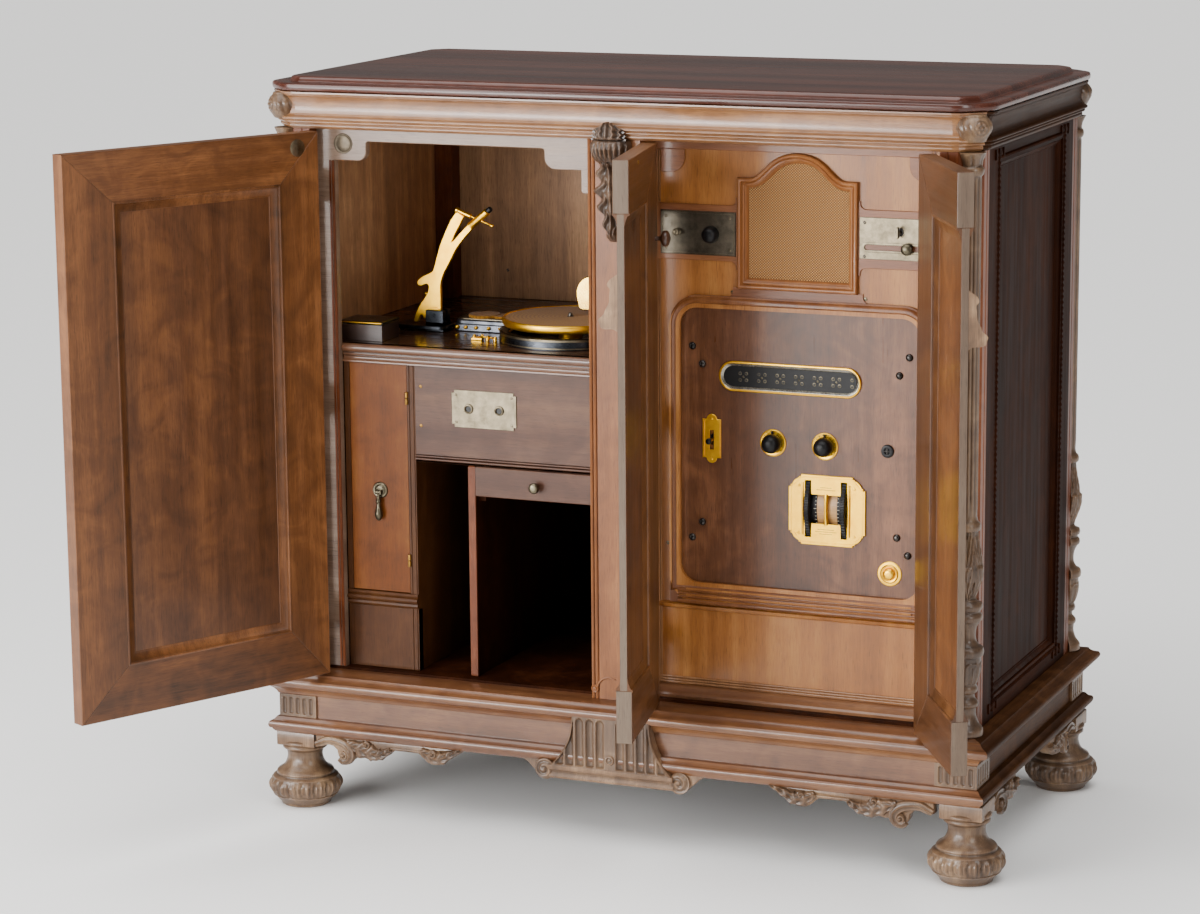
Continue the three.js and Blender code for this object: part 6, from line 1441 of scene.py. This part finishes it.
# ------------------------------------------------------------------ Frame of the control panel
# A rounded bead frames the panel, with round upper corners, and four fine reeds are worked into
# its bottom rail.
frame_walnut = wood("panel_frame_walnut", ("#43220c", "#663919", "#8a572d"), coat=0.22, figure=0.1, shift=4.7)
frame_path = np.concatenate([[(88, 414), (467, 414)], arc(439, 810, 28, 0, 90, 10),
                             arc(116, 810, 28, 90, 180, 10)])
frame_bead = [(aside, board_y - out) for aside, out in (
    (-0.2, 0.1), (-0.2, 5), (1.4, 7.4), (3.4, 6.6), (4, 6), (5.6, 9.4), (8.6, 11.8), (12, 11.6), (14.6, 9.6),
    (16, 6.4), (18.3, 5), (18.3, 0.1))]
reeds = [wire([(x, -240.2, z) for x in (84, 277, 471)], r, 12)
         for z, r in ((383.6, 3.4), (390.4, 2.0), (395.4, 2.0), (400.6, 2.2))]
bottom_rail = board((69.8, 485.2), (-239, -230.1), (379.8, 399), 1.0)
piece("control_panel_frame", [run(frame_path, frame_bead, "xzy", True), bottom_rail] + reeds, frame_walnut)


# ------------------------------------------------------------------ Control panel
# Purple-brown figured walnut, pierced for the controls, with eight domed black screws.
def pierced(outline, holes, order, front, back, edge=0.5):
    """A plate with holes through it: each loop is eased by edge at the front, and both faces are tessellated
    between the outline, which runs anticlockwise, and the holes, which are turned clockwise."""
    loops = [np.asarray(outline, float)] + [np.asarray(h, float)[::-1] for h in holes]
    points, quads, caps, start = [], [], [], 0
    fronts, backs = [], []
    for loop in loops:
        n = len(loop)
        along = np.roll(loop, -1, 0) - loop
        along /= np.hypot(*along.T)[:, None]
        normal = np.stack([along[:, 1], -along[:, 0]], 1)
        before = np.roll(normal, 1, 0)
        mitre = (normal + before) / np.maximum(1 + (normal * before).sum(1), 0.4)[:, None]
        rows = [loop - edge * mitre, loop, loop]
        points += [lay(order, r[:, 0], r[:, 1], np.full(n, c)) for r,
                   c in zip(rows, (front, front + edge, back))]
        k = np.arange(n)
        for step in (0, n):
            quads.append(np.stack([start + step + k, start + step + (k + 1) % n,
                                   start + step + n + (k + 1) % n, start + step + n + k], 1))
        fronts.append((rows[0], start))
        backs.append((rows[2], start + 2 * n))
        start += 3 * n
    for face, flip in ((fronts, False), (backs, True)):
        index = np.concatenate([first + np.arange(len(r)) for r, first in face])
        spots = np.concatenate([r for r, _ in face])
        flat = [[Vector((float(u), float(v), 0.0)) for u, v in r] for r, _ in face]
        for triangle in tessellate_polygon(flat):
            corner = [int(index[i]) for i in triangle]
            p, q, r = (spots[i] for i in triangle)
            turns_left = np.cross(q - p, r - p) > 0
            caps.append(corner if turns_left != flip else corner[::-1])
    return np.concatenate(points), np.concatenate(quads), caps


def circle(x, z, radius, steps=24):
    """A circle as a loop of points, anticlockwise."""
    return arc(x, z, radius, 0, 360, steps + 1)[:-1]


wheel_x, wheel_z = (292.8, 349.5), 542.0
wheel_gap = [(287.5, wheel_z - 44), (298.1, wheel_z - 44), (298.1, wheel_z - 24), (344.2, wheel_z - 24),
             (344.2, wheel_z - 44), (354.8, wheel_z - 44), (354.8, wheel_z + 44), (344.2, wheel_z + 44),
             (344.2, wheel_z + 24), (298.1, wheel_z + 24), (298.1, wheel_z + 44), (287.5, wheel_z + 44)]
panel_walnut = wood("control_panel_walnut", ("#341b0d", "#58341d", "#815335"), coat=0.3, rough=(0.26, 0.4),
                    figure=0.3, streak=0.9, shift=5.6)
panel_holes = [circle(236, 638, 3.6, 14), circle(318.4, 638, 3.6, 14), circle(421, 451.4, 9.5, 20), wheel_gap,
               [(134.2, 620), (141.2, 620), (141.2, 652), (134.2, 652)]]
panel_y = -234
panel_line = np.concatenate([[(88.3, 414.3), (466.7, 414.3)], arc(439, 810, 27.7, 0, 90, 10),
                             arc(116, 810, 27.7, 90, 180, 10)])
panel_parts = [pierced(panel_line, panel_holes, "xzy", panel_y, -230.3)]
piece("control_panel_face", panel_parts, panel_walnut, stands_for="control_panel")
panel_places = [(106.6, 778.5), (122.7, 752), (449, 780), (434, 752), (122, 508), (105.7, 483), (431.6, 507),
                (449, 481)]
panel_screws = [forward([(5.6, -0.5), (5.8, 0.8), (5, 2.6), (3, 4), (0.8, 4.4)], x, z, -233.8, 20)
                for x, z in panel_places]
black_steel = metal("blackened_steel", "#2b2826", "#4a4643", (0.22, 0.36))
piece("panel_screws", panel_screws, black_steel)

# Socket window: a gilded rim round a bright bevel, and a black strip with groups of four sockets.
pill = oval((150, 375), (713.5, 759), 22.6, 14)
rim_profile = [(0, -233.6), (0.2, -236.6), (-0.8, -238), (-2.2, -238.2), (-3.2, -237), (-3.6, -233.6)]
piece("window_rim", [run(pill, rim_profile, "xzy", True)], gold)
bright = metal("bright_nickel", "#8f8a7e", "#6a665c", (0.2, 0.34))
bevel_profile = [(-3.3, -233.6), (-3.3, -236.6), (-4.4, -236.4), (-8.6, -234.2), (-8.6, -233.6)]
piece("window_bevel", [run(pill, bevel_profile, "xzy", True)], bright)
piece("socket_strip", [slab(oval((157, 368), (720.6, 751.9), 15.4, 12), "xzy", -235.4, -233.8, 0.5)], ebonite)
strip_y, groups = -235.3, (188.7, 218.2, 247.7, 277.2, 306.7, 336.2)
sockets = [(x, z) for x in [group + d for group in groups for d in (-5, 5)] + [361.0] for z in (731, 741)]
socket_rings = [forward([(1.7, 0), (2.8, 0), (2.7, 0.7), (1.9, 0.8)], x, z, strip_y, 14, "ring") for x,
                z in sockets]
socket_rings += screws([(x, 736) for x in groups], strip_y, radius=1.9, rise=0.6)
# Black cores in the sockets, as painted shade of the holes.
socket_cores = [forward([(1.8, -0.4), (1.8, 0.2), (0.3, 0.2)], x, z, strip_y, 10) for x, z in sockets]
piece("socket_rings", socket_rings, bronze)
piece("socket_cores", socket_cores, hole_painted_shade)

# Switch plate: gilded, with a lobe and a screw at each end, and a black ball on a short lever.
switch_x, switch_y = 137.75, -236
switch_line = np.concatenate([[(123, 608.5), (128.4, 608.5)], arc(switch_x, 609, 8.4, 190, 350, 10),
                              [(147, 608.5), (152.5, 608.5), (152.5, 668), (147, 668)],
                              arc(switch_x, 667.4, 8.4, 10, 170, 10), [(128.4, 668), (123, 668)]])
lever_slot = [(134.4, 621), (141, 621), (141, 651), (134.4, 651)]
switch_parts = [pierced(switch_line, [lever_slot], "xzy", switch_y, panel_y, 0.6)]
switch_parts += [board(x, (-237, -235.6), (611, 665.6), 0.6) for x in ((124, 126.4), (149.2, 151.6))]
switch_parts += screws([(switch_x, 607), (switch_x, 669.4)], switch_y, radius=2.4)
piece("switch_plate", switch_parts, gold)
stem = forward([(2.4, 0), (2.4, 6), (2, 9), (2, 15)], 137.7, 636, board_y, 16)
ball = forward(smooth([(0.5, 12.2), (2.8, 13), (4.6, 16), (4.9, 18.4), (3.8, 21), (0.5, 22)], 3), 137.7, 636,
               board_y, 24)
piece("toggle_stem", [stem], gold, "toggle_lever", "toggle_lever")
piece("toggle_ball", [ball], ebonite, "toggle_lever")


# ------------------------------------------------------------------ Rheostats, socket and push button
# Gilded escutcheons lie on the panel under black domed bakelite knobs with a short pointer; the
# socket is black, and the push button's escutcheon has a raised ring.
knob_z = 638
dial_marks = []
for side, x in (("left", 236.0), ("right", 318.4)):
    plate = forward([(3.7, 0), (20.6, 0), (21, 0.8), (20.4, 1.9), (19.2, 2.3), (18.2, 1.9), (9, 2.2), (8, 3),
                     (3.7, 3)], x, knob_z, panel_y, 40, "ring")
    piece(f"rheostat_escutcheon_{side}", [plate], gold)
    for degrees in range(-40, 221, 20):
        c, s = np.cos(np.radians(degrees)), np.sin(np.radians(degrees))
        ends = [(x + r * c, -236.2, knob_z + r * s) for r in (15.8, 16.8, 17.8)]
        dial_marks.append(wire(ends, 0.35, 6))
    crown = smooth([(14.4, 12), (13.4, 16), (11.2, 20), (8, 22.6), (4, 24), (0.5, 24.3)], 4)
    dome = forward(np.concatenate([[(0.5, 3.3), (12, 3.3), (14.6, 4), (15, 6), (14.8, 9)], crown]), x, knob_z,
                   panel_y, 48)
    spindle = forward([(3, -18.8), (3, 6)], x, knob_z, panel_y, 16)
    piece(f"rheostat_knob_{side}_dome", [dome, spindle], ebonite, f"rheostat_knob_{side}",
          f"rheostat_knob_{side}")
    pointer = [board((x - 0.8, x + 0.8), (-240.6, -237.6), (knob_z + 13, knob_z + 19), 0.3)]
    piece(f"rheostat_pointer_{side}", pointer, ebonite, f"rheostat_knob_{side}")
piece("rheostat_marks", dial_marks, black_steel)
socket_place = (416.5, 637.6, panel_y)
socket = [forward([(4, 0), (9.6, 0), (10, 1), (9.4, 3.4), (8, 4), (5, 3.6), (4, 2)], *socket_place, 32,
                  "ring"), forward([(4.4, -0.2), (4.4, 1), (0.4, 1.2)], *socket_place, 16)]
piece("panel_socket", socket, ebonite)
piece("panel_socket_cross", [board((415.9, 417.1), (-237.6, -234.6), (629.6, 645.6), 0.3),
                             board((408.5, 424.5), (-237.4, -234.6), (637, 638.2), 0.3)], black_steel)
button_x, button_z = 421, 451.4
button_parts = [forward([(9.6, 0), (18.4, 0), (19, 0.8), (18, 1.6), (14.4, 1.9), (13.6, 3.2), (12.4, 4),
                         (11, 3.6), (9.6, 3)], button_x, button_z, panel_y, 40, "ring")]
button_parts += screws([(button_x + 16 * np.cos(np.radians(a)), button_z + 16 * np.sin(np.radians(a)))
                        for a in (45, 135, 225, 315)], -235.6, radius=1.2, rise=0.4)
piece("push_button_plate", button_parts, gold)
button = forward(np.concatenate([[(0.5, -11), (3, -11), (3, 0), (9, 0.3), (9, 4)],
                                 smooth([(8.2, 6), (6, 7.6), (3, 8.2), (0.5, 8.3)], 3)]), button_x, button_z,
                 panel_y)
piece("push_button_cap", [button], gold, "push_button", "push_button")


# ------------------------------------------------------------------ Tuning dial
# An engraved and gilded plate with rounded shoulders. Two black milled wheels turn in its slots,
# beside numbered black bands and brown drums that show on both sides of a waisted bar.
(d0, d1), (e0, e1), inset = (262.0, 383.0), (487.0, 594.0), 19.5


def shouldered(side, corner, radius, spare, steps):
    """The dial's outline side mm inside its edge, whose straight runs end corner mm from each corner. The
    corner arcs leave out spare degrees at both ends."""
    (a0, a1), (b0, b1) = (d0, d1), (e0, e1)
    eyes = ((a1 - inset, b0 + inset), (a1 - inset, b1 - inset), (a0 + inset, b1 - inset),
            (a0 + inset, b0 + inset))
    runs = ([(a0 + corner, b0 + side), (a1 - corner, b0 + side)],
            [(a1 - side, b0 + corner), (a1 - side, b1 - corner)],
            [(a1 - corner, b1 - side), (a0 + corner, b1 - side)],
            [(a0 + side, b1 - corner), (a0 + side, b0 + corner)])
    return np.concatenate([part for k in range(4) for part in (
        runs[k], arc(*eyes[k], radius, 90 * k - 90 + spare, 90 * k - spare, steps))])


dial_line = shouldered(0, inset, 14.5, 0, 9)
bar_left = 317.2
waist = np.array([(bar_left, 520), (bar_left + 1.6, 530), (bar_left + 2, 542), (bar_left + 1.6, 554),
                  (bar_left, 564)])
left_window = [(288.2, 498.8), (297.4, 498.8), (297.4, 520), *map(tuple, waist), (297.4, 564), (297.4, 585.2),
               (288.2, 585.2)]
right_window = [(642.3 - x, z) for x, z in left_window][::-1]
dial_parts = [pierced(dial_line, [left_window, right_window], "xzy", -237.3, -234.3, 0.5)]
border = shouldered(4, 17, 10.5, 20, 7)
dial_parts.append(run(border, [(0.9, -237.1), (0.5, -237.7), (-0.5, -237.7), (-0.9, -237.1)], "xzy", True))
dial_parts += screws([(x, z) for x in (d0 + 17, d1 - 17) for z in (e0 + 17, e1 - 17)], -237.3, radius=2.3)
for x in (284.4, 358):
    bowed = [(x, -237.4, 502), (x, -238.4, 520), (x, -239, 542), (x, -238.4, 564), (x, -237.4, 582)]
    dial_parts.append(wire(bowed, 1.5))
dial_parts.append(wire([(321.2, -236.4, 519), (321.2, -238.6, 530), (321.2, -239.2, 542),
                        (321.2, -238.6, 554), (321.2, -236.4, 565)], (3.6, 2.6, 2.2, 2.6, 3.6), 16))
piece("dial_plate_engraved", dial_parts, gold, stands_for="dial_plate")
engraved = [board((321.2 - reach, 321.2 + reach), (-237.5, -237.2), (z - 0.35, z + 0.35), 0.08)
            for z, reach in ((572, 15), (575.6, 9), (508, 17), (511.4, 13), (504.6, 10))]
piece("dial_engraving", engraved, bronze)
brown_drum = wood("brown_drum_card", ("#8a6238", "#b1854f", "#c99c63"), grain=(1, 0, 0), coat=0.2, figure=0.1)
white_ink = new_finish("white_filled_engraving", {"Base Color": linear("#d8d2c0"), "Roughness": 0.5})[0]
wheel_y, band_radius, teeth = -178, 55.45, 90
for side, x, inner in (("left", wheel_x[0], 1), ("right", wheel_x[1], -1)):
    angle = np.linspace(0, 2 * np.pi, 4 * teeth, endpoint=False)
    milled = 69.6 + 0.4 * np.sign(np.cos(teeth * angle + 0.4))
    rows = []
    for offset, r in ((-3.8, milled - 1.2), (-3.0, milled), (3.0, milled), (3.8, milled - 1.2)):
        rows.append(lay("xyz", np.full(len(angle), x + offset), wheel_y - r * np.cos(angle),
                        wheel_z + r * np.sin(angle)))
    wheel = [loft(np.stack(rows))]
    axle = turn([(4, x - inner * 36), (4, x + inner * 12)], (wheel_y, wheel_z), "yzx", 20)
    band_ends = sorted((x + inner * 3.6, x + inner * 12.6))
    numbered = turn([(54.6, band_ends[0]), (55.4, band_ends[0] + 0.4), (55.4, band_ends[1] - 0.4),
                     (54.6, band_ends[1])], (wheel_y, wheel_z), "yzx", 96)
    piece(f"tuning_wheel_{side}_milled", wheel + [axle, numbered], ebonite,
          f"tuning_wheel_{side}", f"tuning_wheel_{side}")
    drum_ends = sorted((x + inner * 12.4, 321.15 - inner))
    drum = turn([(54.4, drum_ends[0]), (54.8, drum_ends[0] + 0.4), (54.8, drum_ends[1] - 0.4),
                 (54.4, drum_ends[1])], (wheel_y, wheel_z), "yzx", 96)
    piece(f"tuning_drum_{side}", [drum], brown_drum, f"tuning_wheel_{side}")
    ticks = []
    for k in range(60):
        a = 2 * np.pi * k / 60
        reach = 4.4 if k % 5 == 0 else 2.2
        start = x + inner * 12.0
        ends = [(start - inner * t, wheel_y - band_radius * np.cos(a), wheel_z + band_radius * np.sin(a))
                for t in (0, reach / 2, reach)]
        ticks.append(wire(ends, 0.32, 5))
    piece(f"tuning_ticks_{side}", ticks, white_ink, f"tuning_wheel_{side}")


# ------------------------------------------------------------------ Selector and lock plates
# Left, an aged dark bronze plate with a fine bright border, a small knob and a black selector
# knob; right, a nickel plate with a key and a raised slot for its brass slider.
olive = metal("aged_olive_bronze", "#6a6254", "#4a443a", (0.3, 0.45))
selector_parts = [pierced(rectangle((55.6, 176), (917, 983)), [circle(137, 948.6, 3.6, 14)], "xzy", -234.4,
                          -230.3, 0.8)]
piece("selector_plate_aged", selector_parts, olive, stands_for="selector_plate")
line_profile = [(0.5, -234.3), (0.3, -234.9), (-0.3, -234.9), (-0.5, -234.3)]
selector_bright = [run(rectangle((58.6, 173), (920, 980)), line_profile, "xzy", True)]
selector_bright += screws([(x, z) for x in (65, 167) for z in (926, 974)], -234.3, radius=2.4)
selector_bright.append(forward(np.concatenate([[(5.6, 0), (6, 0.6), (3, 1.4), (2.6, 4)],
                                               smooth([(3.4, 4.6), (5, 6.4), (5, 8.4), (3, 10), (0.5, 10.4)],
                                                      3)]), 83, 951, -234.3, 28))
piece("selector_plate_brights", selector_bright, nickel)
selector_dome = forward(np.concatenate([[(0.5, 3.6), (12.4, 3.6), (13, 4.6), (12.8, 9)],
                                        smooth([(12.4, 12), (11, 16), (8, 19), (4, 20.6), (0.5, 21)], 4)]),
                        137, 948.6, -230.6, 44)
piece("selector_knob_dome", [selector_dome, forward([(3, -14.8), (3, 5)], 137, 948.6, -230.6, 16)], ebonite,
      "selector_knob", "selector_knob")

slot_line = oval((378, 477), (936.5, 944.5), 3.9, 8)
lock_parts = [pierced(rectangle((370, 483), (923, 985)), [slot_line, circle(432, 965, 3.5, 14)], "xzy",
                      -233.3, -230.3, 0.6), run(slot_line, [(0, -233.2), (0.2, -234.3), (1.4, -234.6),
                                                            (3.2, -234.2), (3.5, -233.2)], "xzy", True)]
piece("lock_plate_nickel", lock_parts, nickel, stands_for="lock_plate")
lock_ring = forward([(3.6, 0), (6.6, 0), (6.4, 1), (3.6, 1.2)], 432, 965, -233.2, 28, "ring")
# A black sheet behind the slot, as painted shadow.
piece("lock_slot_shadow", [slab(oval((377.6, 477.4), (936.1, 944.9), 4.2, 8), "xzy", -230.9, -230.2, 0.1)],
      hole_painted_shade)
lock_screws = screws([(378, 927), (378, 977)], -233.3, radius=2.4)
piece("lock_plate_screws", lock_screws + [lock_ring], black_steel)
key_parts = [forward([(3, -15), (3, 7)], 432, 965, -233.6, 16),
             board((430.6, 433.4), (-247.4, -239), (956.4, 973.6), 1.2)]
piece("lock_key_steel", key_parts, nickel, "lock_key", "lock_key")
slider_knob = forward([(0.5, 1.2), (5, 1.2), (8.6, 3.6), (9, 5.6), (8.4, 8), (5, 10.6), (0.5, 11.2)], 444.7,
                      940.5, -233.6)
slider_foot = board((439.7, 449.7), (-236, -230.4), (937.5, 943.5), 0.3)
piece("slider_knob_brass", [slider_knob, slider_foot], bronze, "slider_knob", "slider_knob")


# ------------------------------------------------------------------ Radio chassis
# A grey lacquered chassis with coil cans and valves stands behind the board.
coat_node("receiver_chassis", grey_cast)


low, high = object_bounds()
